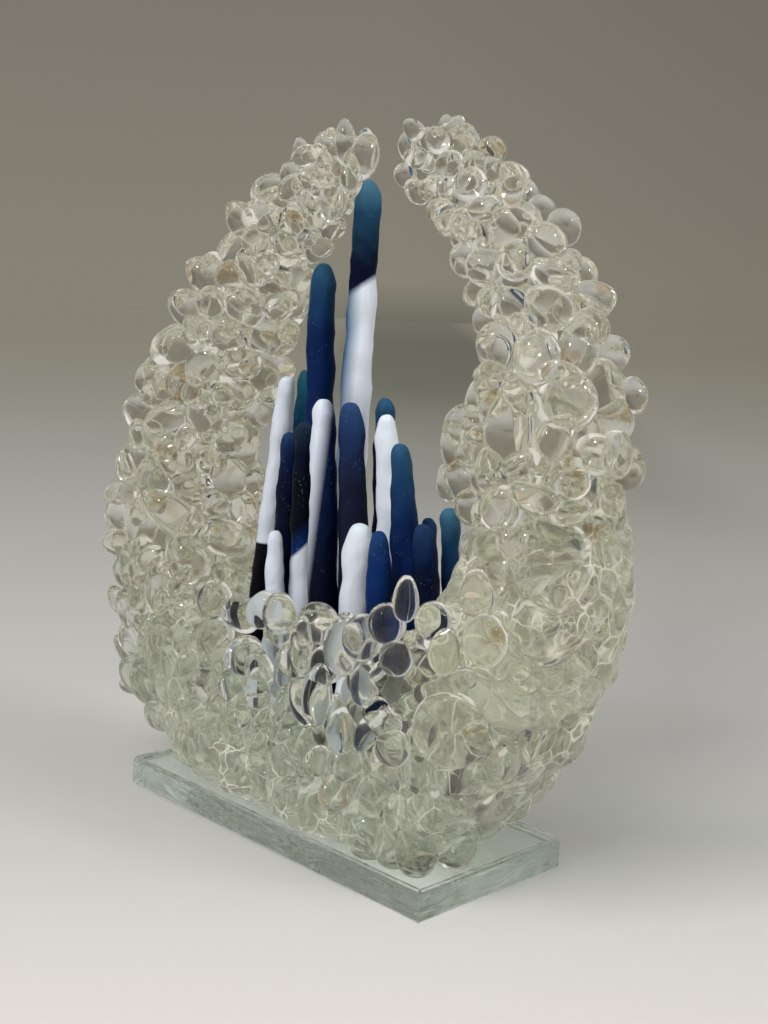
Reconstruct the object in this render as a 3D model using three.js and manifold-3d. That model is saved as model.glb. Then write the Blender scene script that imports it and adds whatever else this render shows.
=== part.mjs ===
// Fused glass sculpture: a crescent of kiln-fused clear nuggets stands on a float glass plate and holds
// a cluster of satin glass fingers. Millimetres, +Z up. The origin is the middle of the plate's underside,
// +X runs along the plate's long side and -Y is the front.

import * as THREE from 'three';
import { mergeVertices } from 'three/addons/utils/BufferGeometryUtils.js';
import Module from 'manifold-3d';

const wasm = await Module();
wasm.setup();

// Clear line kept between two pieces that are fused or glued together
const SEAM = 0.3;

// Base plate
const PLATE_LENGTH = 164;
const PLATE_DEPTH = 73;
const PLATE_THICKNESS = 12;
const PLATE_ARRIS = 1.6;
const PLATE_CORNER = 2.5;

// Crescent: a circle that stands on the plate, and the sections that thicken it from tip to tip.
// Angles go round from the lowest point, positive to the right. Swell is how far a section's outer edge
// lies beyond the circle, width is measured along the radius and depth from front to back.
const CRESCENT_RADIUS = 124;
const CRESCENT_OFFSET = -4;
const CRESCENT_YAW = 3;
const SECTIONS = [
  { angle: -180, swell: -4, width: 16, depth: 16 },
  { angle: -165, swell: -12, width: 28, depth: 25 },
  { angle: -140, swell: -21, width: 40, depth: 36 },
  { angle: -115, swell: -16, width: 50, depth: 42 },
  { angle: -90, swell: 0, width: 54, depth: 48 },
  { angle: -65, swell: 17, width: 66, depth: 54 },
  { angle: -45, swell: 30, width: 71, depth: 57 },
  { angle: -22, swell: 11, width: 49, depth: 60 },
  { angle: 0, swell: 4, width: 40, depth: 62 },
  { angle: 28, swell: 18, width: 54, depth: 62 },
  { angle: 42, swell: 13, width: 58, depth: 62 },
  { angle: 60, swell: 7, width: 60, depth: 58 },
  { angle: 90, swell: 4, width: 54, depth: 50 },
  { angle: 115, swell: 7, width: 37, depth: 41 },
  { angle: 140, swell: 7, width: 26, depth: 32 },
  { angle: 160, swell: 5, width: 19, depth: 22 },
];
const SECTION_POWER = 3.6;
const TIP_ROUNDING = 0.9;
const LEFT_SEAM_ANGLE = -56;
const RIGHT_SEAM_ANGLE = 60;

// Nuggets fused into the crescent: smallest and largest radius of each pass and its tries
const NUGGET_PASSES = [
  { smallest: 9.5, largest: 13, tries: 1200 },
  { smallest: 7.5, largest: 9.5, tries: 3500 },
  { smallest: 6, largest: 7.5, tries: 6000 },
  { smallest: 5, largest: 6, tries: 6000 },
];
const NUGGET_SEED = 5;
const NUGGET_CELL = 26;

// How close two nuggets may sit as a share of touching, the largest as a share of half a section, the share
// of them that lie on the crescent's outside, how far these stand proud of its sections, and how far that
// varies
const NUGGET_CLOSENESS = 0.74;
const NUGGET_LARGEST = 0.45;
const NUGGETS_OUTSIDE = 0.8;
const NUGGET_PROUD = 4.2;
const NUGGET_PROUD_LESS = -2;
const NUGGET_PROUD_MORE = 1.5;

// Form of a nugget: its greatest stretch, least thickness and spin, and how high one rests on the plate
const NUGGET_STRETCH = 1.35;
const NUGGET_THINNEST = 0.85;
const NUGGET_SPIN = 1.6;
const NUGGET_REST = 0.85;
const EDGE_SPIN = 0.3;

// Shares of a nugget's radius by which it keeps clear of a finger and of the view of a finger
const FINGER_CLEARANCE = 0.7;
const VIEW_CLEARANCE = 0.75;

// Every few tries go to the walls, with smaller nuggets
const WALL_TURN = 5;
const WALL_NUGGET_LARGEST = 8;
const WALL_SCATTER = 4;

// The outer rim has melted smooth round one angle; low down the nuggets have run and stand upright
const MELTED_ANGLE = 52;
const MELTED_REACH = 48;
const MELTED_SINK = 5.2;
const MELTED_FROM = 0.3;
const MELTED_FADE = 0.5;
const RUN_HEIGHT = 95;
const RUN_FADE = 50;
const RUN_STRETCH = 0.4;
const RUN_UPRIGHT = 0.8;

// Nuggets that stand out at the crescent's edge, on its middle plane: place along it, height, half sizes
const EDGE_NUGGETS = [
  [3.4, 249, 5.5, 9], [-6, 252, 5, 8], [-16, 251, 5, 6.4], [-30, 249, 4.5, 6], [-37, 242, 4, 6.5],
  [-12.5, 234, 5.5, 9.5], [-3, 242, 5, 8], [-13, 219, 4.6, 6.6], [-24, 243, 6, 7], [-22, 229, 6, 7],
  [-12, 244, 6, 6], [28, 252, 4, 5], [34, 256, 4, 5], [43, 255, 4, 5], [41, 247, 4.6, 5], [51, 242, 4.4, 8],
  [46, 234, 4.5, 6], [39, 238, 4.4, 6], [44, 227, 4.4, 6], [58, 220, 5, 7], [68, 229, 5, 7],
  [88, 213, 5, 7], [64, 205, 5, 6], [65, 190, 5, 6], [67, 176, 5, 6],
  [-128, 159, 6, 6], [-120, 158, 6, 6], [-138, 106, 6, 7], [-141, 84, 7, 7], [-133, 62, 6, 6],
  [-125, 66, 7, 7], [-130, 44, 8, 9], [-120, 46, 8, 8], [-134, 23, 8, 4.5], [-121, 27, 8, 7],
  [-104, 20, 11, 7.5], [-110, 34, 8, 8],
];

// Nuggets that lie on the plate at the crescent's near foot: place, height and radius, and their stretch
const FOOT_NUGGETS = [
  [50, -29, 19, 7], [61, -28, 19, 7], [71, -27, 20, 7.5], [78, -17, 23, 7.5], [66, -20, 21, 8],
];
const FOOT_STRETCH = 1.2;

// The fingers are left in view from this point, above this height over the plate
const VIEWPOINT = new THREE.Vector3(379.154, -351.692, 208.612);
const VIEW_HEIGHT = 78;
const VIEW_STEPS = 11;

// Low walls of nuggets that hold the fingers in, in front of them and behind; heights are above the plate
const WALL_LEFT = -46;
const WALL_RIGHT = 74;
const WALL_OFFSET = 25;
const WALL_HEIGHT_LEFT = 75;
const WALL_HEIGHT_RIGHT = 82;

// Skin that is drawn over the nuggets: points round a section, degrees between sections, the share of a facet
// over which it is evened out, and its least radius
const SKIN_SIDES = 34;
const SKIN_STEP = 3;
const SKIN_EVENING = 0.42;
const SKIN_LEAST = 1.5;

// Fingers: their form, and how deep their feet are sunk into the floor of the cradle
const FINGER_BELLY = 0.45;
const FINGER_SHOULDER = 0.75;
const FINGER_SINK = 3;
const FINGER_SIDES = 10;
const FINGER_TIP_RINGS = 3;

// Fineness of the front nuggets and rods
const BALL_DETAIL = 1;
const ROD_SIDES = 8;
const ROD_END_RINGS = 2;

// Colours: a finger takes the first one that its name holds
const FINGER_COLOURS = { navy: 0x16295a, blue: 0x1f4a86, teal: 0x1f5a86, white: 0xe6ebf4 };
const CLEAR = 0xdde3d8;
const FLOAT_GREEN = 0xbfd6cc;
const SATIN = 0.45;
const POLISHED = 0.05;

// Fingers: foot and tip on the floor plan, height of the tip above the plate, diameter of the belly and the
// share of it that is left under the tip
const FINGERS = [
  { name: 'tallest_blue_white', foot: [-13, 12], tip: [-6.5, 12], height: 230, diameter: 11.8, taper: 0.84 },
  { name: 'tall_navy', foot: [-22, 6], tip: [-25.5, 8], height: 199, diameter: 12, taper: 0.8 },
  { name: 'left_white', foot: [-55, 3], tip: [-38, 3], height: 156, diameter: 9.4, taper: 0.8 },
  { name: 'left_teal', foot: [-42, 17], tip: [-44, 17], height: 158, diameter: 9, taper: 0.85 },
  { name: 'left_navy', foot: [-29, -5], tip: [-29, -3], height: 135.5, diameter: 9.6, taper: 0.75 },
  { name: 'white_blue', foot: [3, -10], tip: [-4, -9], height: 151, diameter: 11.4, taper: 0.74 },
  { name: 'navy_white_foot', foot: [-15, -7], tip: [-17, -6], height: 141, diameter: 9.2, taper: 0.8 },
  { name: 'short_white_left', foot: [-15, -18], tip: [-20.5, -16], height: 100.5, diameter: 7.8, taper: 0.9 },
  { name: 'centre_navy', foot: [14, -3], tip: [5.5, -4], height: 150.5, diameter: 11.8, taper: 0.76 },
  { name: 'short_white', foot: [26, -17], tip: [25, -16], height: 110, diameter: 11.6, taper: 0.96 },
  { name: 'back_navy', foot: [8, 14], tip: [6.5, 12], height: 152, diameter: 9.2, taper: 0.7 },
  { name: 'right_white', foot: [28, 3], tip: [17.5, 2], height: 147, diameter: 11.2, taper: 0.66 },
  { name: 'short_blue', foot: [46, -21], tip: [38.5, -20], height: 110, diameter: 10.6, taper: 0.68 },
  { name: 'right_blue', foot: [48, -6], tip: [33.5, -6], height: 138.5, diameter: 12.8, taper: 0.6 },
  { name: 'short_navy', foot: [63, -14], tip: [52.5, -12], height: 113.5, diameter: 11.2, taper: 0.68 },
  { name: 'back_short_navy', foot: [41, 8], tip: [37, 6], height: 112, diameter: 8.8, taper: 0.8 },
  { name: 'far_right_blue', foot: [61, 2], tip: [51.5, 1], height: 118, diameter: 8.6, taper: 0.85 },
];

// Clear nuggets laid one by one on the front wall, so far out from its middle, at a place along it and a share
// of its height there: half sizes along the wall, out of it and up
const FRONT_DEPTH = 8.5;
const FRONT_NUGGETS = [
  { name: 'front_nugget_dome', along: 42, rise: 0.9, half: [7.8, 8.5, 9.4] },
  { name: 'front_nugget_back', along: 51.5, rise: 0.96, half: [7, 8, 8] },
  { name: 'front_nugget_slim', along: 19.5, rise: 0.84, half: [5, 6, 9.2] },
  { name: 'front_nugget_left', along: 6, rise: 0.97, half: [6, 6.5, 8] },
  { name: 'front_nugget_dark', along: 63.5, rise: 1.04, half: [6.6, 6.5, 7] },
  { name: 'front_nugget_top', along: 72, rise: 1.14, half: [5, 5, 6.6] },
  { name: 'front_nugget_right', along: 85, rise: 1.09, half: [6.2, 6, 6.4] },
  { name: 'front_nugget_right_low', along: 91, rise: 0.97, half: [6.2, 6.2, 6.4] },
  { name: 'front_nugget_ribbed', along: 68.5, rise: 0.91, half: [6, 5.5, 6.2] },
  { name: 'front_nugget_centre', along: 54, rise: 0.76, half: [6.2, 6, 7] },
  { name: 'front_nugget_foot_left', along: 42.5, rise: 0.52, half: [6.4, 6, 7] },
  { name: 'front_nugget_foot_right', along: 69, rise: 0.54, half: [6.4, 6, 6.4] },
  { name: 'front_nugget_long', along: 29, rise: 0.64, half: [6.8, 6.5, 9.8] },
  { name: 'front_nugget_disc', along: 95, rise: 0.69, half: [12.5, 6.5, 12.5] },
  { name: 'front_nugget_far_left', along: -6, rise: 0.57, half: [5, 5, 6.8] },
  { name: 'front_nugget_shoulder', along: 103, rise: 1.21, half: [6.4, 6.4, 6.4] },
  { name: 'front_nugget_side', along: 108, rise: 1.06, half: [7.4, 6.5, 8.4] },
];

// Short lengths of clear rod laid among them: tilt is from level, in degrees
const FRONT_RODS = [
  { name: 'front_rod_long', along: 69.5, rise: 0.78, length: 22, diameter: 9, tilt: -30 },
  { name: 'front_rod_short', along: 63, rise: 0.64, length: 15, diameter: 9.2, tilt: -31 },
  { name: 'front_rod_stub', along: 92, rise: 0.85, length: 27, diameter: 6.4, tilt: 28 },
];

const UP = new THREE.Vector3(0, 0, 1);
const TO_RADIANS = Math.PI / 180;

const PLATE_TOP = PLATE_THICKNESS + SEAM;
const CENTRE_HEIGHT = PLATE_TOP + CRESCENT_RADIUS;
const FIRST_ANGLE = SECTIONS[0].angle;
const LAST_ANGLE = SECTIONS[SECTIONS.length - 1].angle;
const LOWEST_SECTION = sectionAt(0);
const FLOOR_HEIGHT = CENTRE_HEIGHT - LOWEST_SECTION.middle + LOWEST_SECTION.halfWidth;
const FOOT_HEIGHT = FLOOR_HEIGHT - FINGER_SINK;

// A section's own nuggets all lie nearer than this to its middle, and the other horn's lie further off
const SECTION_REACH = 0.7 * CRESCENT_RADIUS;

// Closed solid of a geometry's positions
function solidOf(geometry) {
  const bare = geometry.index ? geometry.toNonIndexed() : geometry.clone();
  bare.deleteAttribute('normal');
  bare.deleteAttribute('uv');
  const merged = mergeVertices(bare, 1e-4);
  return new wasm.Manifold(new wasm.Mesh({
    numProp: 3,
    vertProperties: new Float32Array(merged.attributes.position.array),
    triVerts: new Uint32Array(merged.index.array),
  }));
}

// Named mesh of a solid, without the crumbs that a cut leaves
function meshOf(name, solid, colour, roughness) {
  const bodies = solid.decompose().sort((a, b) => b.volume() - a.volume());
  const data = bodies[0].getMesh();
  const geometry = new THREE.BufferGeometry();
  geometry.setAttribute('position', new THREE.BufferAttribute(new Float32Array(data.vertProperties), 3));
  geometry.setIndex(new THREE.BufferAttribute(new Uint32Array(data.triVerts), 1));
  geometry.computeVertexNormals();
  const material = new THREE.MeshStandardMaterial({ color: colour, roughness, metalness: 0 });
  const mesh = new THREE.Mesh(geometry, material);
  mesh.name = name;
  return mesh;
}

// Repeatable random numbers between two limits
function seededBetween(seed) {
  let state = seed;
  return (low, high) => {
    state = (state * 1664525 + 1013904223) % 4294967296;
    return low + ((high - low) * state) / 4294967296;
  };
}

// Crescent section at an angle, drawn between the two listed sections that it lies between
function sectionAt(angle) {
  const last = SECTIONS.length - 1;
  const after = SECTIONS.findIndex((section) => section.angle >= angle);
  const next = after < 0 ? last : Math.max(after, 1);
  const from = SECTIONS[next - 1];
  const to = SECTIONS[next];
  const share = (angle - from.angle) / (to.angle - from.angle);
  const mix = (key) => THREE.MathUtils.lerp(from[key], to[key], share);
  const width = mix('width');
  const middle = CRESCENT_RADIUS + mix('swell') - width / 2;
  return { middle, halfWidth: width / 2, halfDepth: mix('depth') / 2 };
}

// Angle that the rounded end of a tip takes up beyond the last section
function tipAngle(angle) {
  return (TIP_ROUNDING * sectionAt(angle).halfWidth) / CRESCENT_RADIUS / TO_RADIANS;
}

// Turns a place in the crescent's upright plane a little askew, as the crescent stands on its plate
function askew(vector) {
  return vector.applyAxisAngle(UP, -CRESCENT_YAW * TO_RADIANS);
}

// Place on the crescent at a radius from its centre, an angle round it and a depth
function crescentPlace(radius, angle, depth) {
  const x = CRESCENT_OFFSET + radius * Math.sin(angle * TO_RADIANS);
  const z = CENTRE_HEIGHT - radius * Math.cos(angle * TO_RADIANS);
  return askew(new THREE.Vector3(x, depth, z));
}

// Share, from 0 to 1, that the crescent has melted at an angle and a place across it
function meltedAt(angle, across) {
  const alongRim = Math.max(1 - ((angle - MELTED_ANGLE) / MELTED_REACH) ** 2, 0) ** 0.5;
  return alongRim * THREE.MathUtils.clamp((across - MELTED_FROM) / MELTED_FADE, 0, 1);
}

// Height of the walls above the plate at a place along them
function wallHeightAt(x) {
  return THREE.MathUtils.mapLinear(x, WALL_LEFT, WALL_RIGHT, WALL_HEIGHT_LEFT, WALL_HEIGHT_RIGHT);
}

// Point on a finger's axis at a share of the way up it
function fingerAxis({ foot, tip, height }, share) {
  const low = new THREE.Vector3(...foot, FOOT_HEIGHT);
  return low.lerp(new THREE.Vector3(...tip, PLATE_TOP + height), share);
}

// Nugget: a ball pressed to three half sizes across, upwards and outwards, and spun. It is kept with the
// matrix that brings it back to a unit ball
function nuggetAt(centre, outward, half, spin) {
  const across = new THREE.Vector3().crossVectors(UP, outward).normalize();
  const upward = new THREE.Vector3().crossVectors(outward, across).normalize();
  const turn = new THREE.Matrix4().makeBasis(across, upward, outward);
  turn.multiply(new THREE.Matrix4().makeRotationZ(spin));
  turn.scale(new THREE.Vector3(...half)).setPosition(centre);
  const radius = (half[0] + half[1] + half[2]) / 3;
  return { centre, radius, toUnit: turn.invert() };
}

// Whether a nugget keeps clear of the fingers themselves
function clearOfFingers(centre, radius) {
  if (centre.z < FOOT_HEIGHT - radius) return true;
  return FINGERS.every((finger) => {
    const top = PLATE_TOP + finger.height;
    const share = THREE.MathUtils.clamp((centre.z - FOOT_HEIGHT) / (top - FOOT_HEIGHT), 0, 1);
    const axis = fingerAxis(finger, share);
    const away = Math.hypot(centre.x - axis.x, centre.y - axis.y);
    return away >= finger.diameter / 2 + FINGER_CLEARANCE * radius || centre.z >= top + radius;
  });
}

// Whether a nugget stands between the viewpoint and a finger
function hidesFinger(centre, radius) {
  const sight = centre.clone().sub(VIEWPOINT).normalize();
  return FINGERS.some((finger) => {
    for (let step = 0; step <= VIEW_STEPS; step += 1) {
      const away = fingerAxis(finger, step / VIEW_STEPS);
      const inView = away.z > PLATE_TOP + VIEW_HEIGHT;
      away.sub(centre);
      const depth = away.dot(sight);
      const aside = away.addScaledVector(sight, -depth).length();
      if (inView && depth > 0 && aside < finger.diameter / 2 + VIEW_CLEARANCE * radius) return true;
    }
    return false;
  });
}

// Pile of nuggets, laid one by one where there is room for them beside the pieces that are already there
function pileOfNuggets(pieces) {
  const between = seededBetween(NUGGET_SEED);
  const nuggets = [];
  const cells = new Map();
  const cellOf = (centre) => centre.toArray().map((value) => Math.floor(value / NUGGET_CELL));

  function hold(centre, radius) {
    const key = cellOf(centre).join();
    if (!cells.has(key)) cells.set(key, []);
    cells.get(key).push({ centre, radius });
  }

  function hasRoom(centre, radius) {
    const [column, row, level] = cellOf(centre);
    for (let x = column - 1; x <= column + 1; x += 1) {
      for (let y = row - 1; y <= row + 1; y += 1) {
        for (let z = level - 1; z <= level + 1; z += 1) {
          for (const other of cells.get([x, y, z].join()) ?? []) {
            const least = NUGGET_CLOSENESS * (other.radius + radius);
            if (other.centre.distanceTo(centre) <= least) return false;
          }
        }
      }
    }
    return true;
  }

  function lay(nugget) {
    hold(nugget.centre, nugget.radius);
    nuggets.push(nugget);
  }

  function drop(centre, radius, outward) {
    centre.setZ(Math.max(centre.z, PLATE_TOP + NUGGET_REST * radius));
    if (!hasRoom(centre, radius) || !clearOfFingers(centre, radius) || hidesFinger(centre, radius)) return;
    const run = THREE.MathUtils.clamp((RUN_HEIGHT - centre.z) / RUN_FADE, 0, 1);
    const stretch = between(1, NUGGET_STRETCH) + RUN_STRETCH * run;
    const thick = radius * between(NUGGET_THINNEST, 1);
    const spin = between(-NUGGET_SPIN, NUGGET_SPIN) * (1 - RUN_UPRIGHT * run);
    lay(nuggetAt(centre, outward, [radius / stretch ** 0.5, radius * stretch ** 0.5, thick], spin));
  }

  function dropOnCrescent(largest) {
    const angle = between(FIRST_ANGLE, LAST_ANGLE);
    const { middle, halfWidth, halfDepth } = sectionAt(angle);
    const radius = Math.min(largest, NUGGET_LARGEST * Math.min(halfWidth, halfDepth));
    let across = between(-1, 1);
    let back = between(-1, 1);
    const spread = (Math.abs(across) ** SECTION_POWER + Math.abs(back) ** SECTION_POWER) ** (1 / SECTION_POWER);
    if (between(0, 1) < NUGGETS_OUTSIDE || spread > 1) {
      across /= spread;
      back /= spread;
    }
    const melted = MELTED_SINK * meltedAt(angle, across);
    const proud = NUGGET_PROUD + between(NUGGET_PROUD_LESS, NUGGET_PROUD_MORE) - radius - melted;
    const centre = crescentPlace(middle + across * (halfWidth + proud), angle, back * (halfDepth + proud));
    const outward = centre.clone().sub(crescentPlace(middle, angle, 0)).normalize();
    drop(centre, radius, outward);
  }

  function dropOnWall(radius) {
    const x = THREE.MathUtils.lerp(WALL_LEFT, WALL_RIGHT, between(0, 1));
    const side = between(0, 2) < 1 ? -1 : 1;
    const z = between(FLOOR_HEIGHT, PLATE_TOP + wallHeightAt(x) - 0.5 * radius);
    const y = side * (WALL_OFFSET + between(-WALL_SCATTER, WALL_SCATTER));
    drop(askew(new THREE.Vector3(x, y, z)), radius, askew(new THREE.Vector3(0, side, 0)));
  }

  for (const piece of pieces) {
    const box = new THREE.Box3().setFromObject(piece);
    const size = box.getSize(new THREE.Vector3());
    hold(box.getCenter(new THREE.Vector3()), Math.min(...size.toArray()) / 2);
  }
  for (const [along, height, halfWidth, halfHeight] of EDGE_NUGGETS) {
    const centre = new THREE.Vector3(along, 0, height);
    const outward = VIEWPOINT.clone().sub(centre).normalize();
    lay(nuggetAt(centre, outward, [halfWidth, halfHeight, halfWidth], between(-EDGE_SPIN, EDGE_SPIN)));
  }
  for (const [along, depth, height, radius] of FOOT_NUGGETS) {
    const centre = new THREE.Vector3(along, depth, height);
    const outward = VIEWPOINT.clone().sub(centre).normalize();
    lay(nuggetAt(centre, outward, [radius, FOOT_STRETCH * radius, radius], between(-EDGE_SPIN, EDGE_SPIN)));
  }
  for (const { smallest, largest, tries } of NUGGET_PASSES) {
    for (let attempt = 0; attempt < tries; attempt += 1) {
      const radius = between(smallest, largest);
      if (attempt % WALL_TURN === 0) dropOnWall(Math.min(radius, WALL_NUGGET_LARGEST));
      else dropOnCrescent(radius);
    }
  }
  return withoutLoose(nuggets);
}

// The nuggets that touch the lowest one, directly or through others
function withoutLoose(nuggets) {
  const lowest = nuggets.reduce((low, nugget) => (nugget.centre.z < low.centre.z ? nugget : low));
  const fused = new Set([lowest]);
  for (const here of fused) {
    for (const other of nuggets) {
      if (other.centre.distanceTo(here.centre) < other.radius + here.radius) fused.add(other);
    }
  }
  return [...fused];
}

// Where a ray enters and leaves a nugget, as distances along the ray, or null where it misses
function crossing(nugget, origin, direction) {
  const start = origin.clone().applyMatrix4(nugget.toUnit);
  const along = origin.clone().add(direction).applyMatrix4(nugget.toUnit).sub(start);
  const square = along.lengthSq();
  const middle = -start.dot(along) / square;
  const spread = middle * middle - (start.lengthSq() - 1) / square;
  return spread < 0 ? null : [middle - Math.sqrt(spread), middle + Math.sqrt(spread)];
}

// How far the fused mass reaches from the middle of a section at an angle, one turn round it, where turn 0
// points outwards
function reachAt(nuggets, angle, turn) {
  const section = sectionAt(angle);
  const middle = crescentPlace(section.middle, angle, 0);
  const direction = crescentPlace(section.middle + Math.cos(turn), angle, Math.sin(turn)).sub(middle);
  const near = nuggets.filter((nugget) => nugget.centre.distanceTo(middle) < SECTION_REACH);
  const leaving = near.map((nugget) => crossing(nugget, middle, direction)?.[1] ?? 0);
  return Math.max(SKIN_LEAST, ...leaving);
}

// The same, evened out over the facets round that place, as glass that has run together is
function evenReachAt(nuggets, angle, turn) {
  let sum = 0;
  for (const sideways of [-SKIN_EVENING, SKIN_EVENING]) {
    for (const onwards of [-SKIN_EVENING, SKIN_EVENING]) {
      sum += reachAt(nuggets, angle + onwards * SKIN_STEP, turn + (sideways * 2 * Math.PI) / SKIN_SIDES);
    }
  }
  return sum / 4;
}

// Fused mass between two angles: a round bar bent along the crescent, whose skin is pushed out from the
// middle of each section to the furthest nuggets
function fusedMass(nuggets, from, to) {
  const steps = Math.round((to - from) / SKIN_STEP);
  const bar = new THREE.CylinderGeometry(1, 1, 1, SKIN_SIDES, steps);
  const places = bar.attributes.position;
  for (let i = 0; i < places.count; i += 1) {
    const angle = THREE.MathUtils.lerp(from, to, places.getY(i) + 0.5);
    const turn = Math.atan2(places.getZ(i), -places.getX(i));
    const onSkin = Math.hypot(places.getX(i), places.getZ(i)) > 0.5;
    const reach = onSkin ? evenReachAt(nuggets, angle, turn) : 0;
    const { middle } = sectionAt(angle);
    const place = crescentPlace(middle + reach * Math.cos(turn), angle, reach * Math.sin(turn));
    places.setXYZ(i, ...place.toArray());
  }
  return solidOf(bar);
}

// Satin finger: a turned profile with a rounded tip, leaned from its foot to its tip
function fingerSolid(finger, grow = 0) {
  const height = PLATE_TOP + finger.height - FOOT_HEIGHT;
  const radius = finger.diameter / 2;
  const tipRadius = radius * finger.taper;
  const tipLength = 2 * tipRadius;
  const shoulder = height - tipLength;
  const profile = [
    new THREE.Vector2(0, -grow),
    new THREE.Vector2(radius + grow, -grow),
    new THREE.Vector2(radius + grow, shoulder * FINGER_BELLY),
    new THREE.Vector2((radius + tipRadius) / 2 + grow, shoulder * FINGER_SHOULDER),
  ];
  for (let ring = 0; ring < FINGER_TIP_RINGS; ring += 1) {
    const lift = ((ring / FINGER_TIP_RINGS) * Math.PI) / 2;
    const wide = tipRadius * Math.cos(lift) + grow;
    profile.push(new THREE.Vector2(wide, shoulder + (tipLength + grow) * Math.sin(lift)));
  }
  profile.push(new THREE.Vector2(0, height + grow));
  const turned = new THREE.LatheGeometry(profile, FINGER_SIDES);
  turned.rotateX(Math.PI / 2);
  const places = turned.attributes.position;
  for (let i = 0; i < places.count; i += 1) {
    const axis = fingerAxis(finger, places.getZ(i) / height);
    places.setXYZ(i, places.getX(i) + axis.x, places.getY(i) + axis.y, axis.z);
  }
  return solidOf(turned);
}

// Moves a front piece to its place, half sunk in the outermost nuggets of the front wall
function laidOnFront(geometry, piece) {
  const depth = WALL_OFFSET + FRONT_DEPTH;
  const height = PLATE_TOP + piece.rise * wallHeightAt(piece.along);
  geometry.rotateZ(-CRESCENT_YAW * TO_RADIANS);
  geometry.translate(...askew(new THREE.Vector3(piece.along, -depth, height)).toArray());
  return solidOf(geometry);
}

function frontNuggetSolid(piece, grow = 0) {
  const ball = new THREE.IcosahedronGeometry(1, BALL_DETAIL);
  ball.scale(...piece.half.map((size) => size + grow));
  return laidOnFront(ball, piece);
}

// Short rod with softened ends
function frontRodSolid(piece, grow = 0) {
  const radius = piece.diameter / 2;
  const straight = piece.length - piece.diameter;
  const bar = new THREE.CapsuleGeometry(radius + grow, straight, ROD_END_RINGS, ROD_SIDES);
  bar.rotateZ(Math.PI / 2);
  bar.rotateY(-piece.tilt * TO_RADIANS);
  return laidOnFront(bar, piece);
}

// Float glass plate with dubbed corners and a polished arris round both faces
function plateSolid() {
  const x = PLATE_LENGTH / 2 - PLATE_CORNER;
  const y = PLATE_DEPTH / 2 - PLATE_CORNER;
  const outline = new THREE.Shape();
  outline.absarc(x, y, PLATE_CORNER, 0, Math.PI / 2);
  outline.absarc(-x, y, PLATE_CORNER, Math.PI / 2, Math.PI);
  outline.absarc(-x, -y, PLATE_CORNER, Math.PI, 1.5 * Math.PI);
  outline.absarc(x, -y, PLATE_CORNER, 1.5 * Math.PI, 2 * Math.PI);
  const plate = new THREE.ExtrudeGeometry(outline, {
    depth: PLATE_THICKNESS - 2 * PLATE_ARRIS,
    bevelThickness: PLATE_ARRIS,
    bevelSize: PLATE_ARRIS,
    bevelOffset: -PLATE_ARRIS,
    bevelSegments: 1,
    curveSegments: 3,
  });
  plate.translate(0, 0, PLATE_ARRIS);
  return solidOf(plate);
}

// Everything below the plate's top face, which the crescent is ground flat to
function groundAway() {
  const reach = 4 * CRESCENT_RADIUS;
  const block = new THREE.BoxGeometry(reach, reach, reach);
  block.translate(0, 0, PLATE_TOP - reach / 2);
  return solidOf(block);
}

// Assembly: each piece is cut back by a seam where it meets the pieces that were set before it
const sculpture = new THREE.Group();
const cutters = [groundAway()];

function settle(name, solid, colour, roughness) {
  const fitted = cutters.reduce((rest, cutter) => rest.subtract(cutter), solid);
  const mesh = meshOf(name, fitted, colour, roughness);
  sculpture.add(mesh);
  return mesh;
}

sculpture.add(meshOf('base_plate', plateSolid(), FLOAT_GREEN, POLISHED));

for (const finger of FINGERS) {
  const hue = finger.name.split('_').find((word) => word in FINGER_COLOURS);
  settle(`finger_${finger.name}`, fingerSolid(finger), FINGER_COLOURS[hue], SATIN);
  cutters.push(fingerSolid(finger, SEAM));
}

const frontPieces = [];
for (const piece of FRONT_NUGGETS) {
  frontPieces.push(settle(piece.name, frontNuggetSolid(piece), CLEAR, POLISHED));
  cutters.push(frontNuggetSolid(piece, SEAM));
}
for (const piece of FRONT_RODS) {
  frontPieces.push(settle(piece.name, frontRodSolid(piece), CLEAR, POLISHED));
  cutters.push(frontRodSolid(piece, SEAM));
}

// The crescent in three lengths; the half seam is an angle that gives the full gap at half the radius
const halfSeam = SEAM / CRESCENT_RADIUS / TO_RADIANS;
const leftEnd = FIRST_ANGLE - tipAngle(FIRST_ANGLE);
const rightEnd = LAST_ANGLE + tipAngle(LAST_ANGLE);
const lengths = {
  left_horn: [leftEnd, LEFT_SEAM_ANGLE - halfSeam],
  right_horn: [RIGHT_SEAM_ANGLE + halfSeam, rightEnd],
  cradle: [LEFT_SEAM_ANGLE + halfSeam, RIGHT_SEAM_ANGLE - halfSeam],
};
const nuggets = pileOfNuggets(frontPieces);
for (const [name, [from, to]] of Object.entries(lengths)) {
  settle(name, fusedMass(nuggets, from, to), CLEAR, POLISHED);
}

export default sculpture;
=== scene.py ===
"""Fused glass sculpture: clear kiln-fused pebbles, satin glass fingers and a float glass plate."""

import math

import bpy
from mathutils import Matrix, Vector


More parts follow.
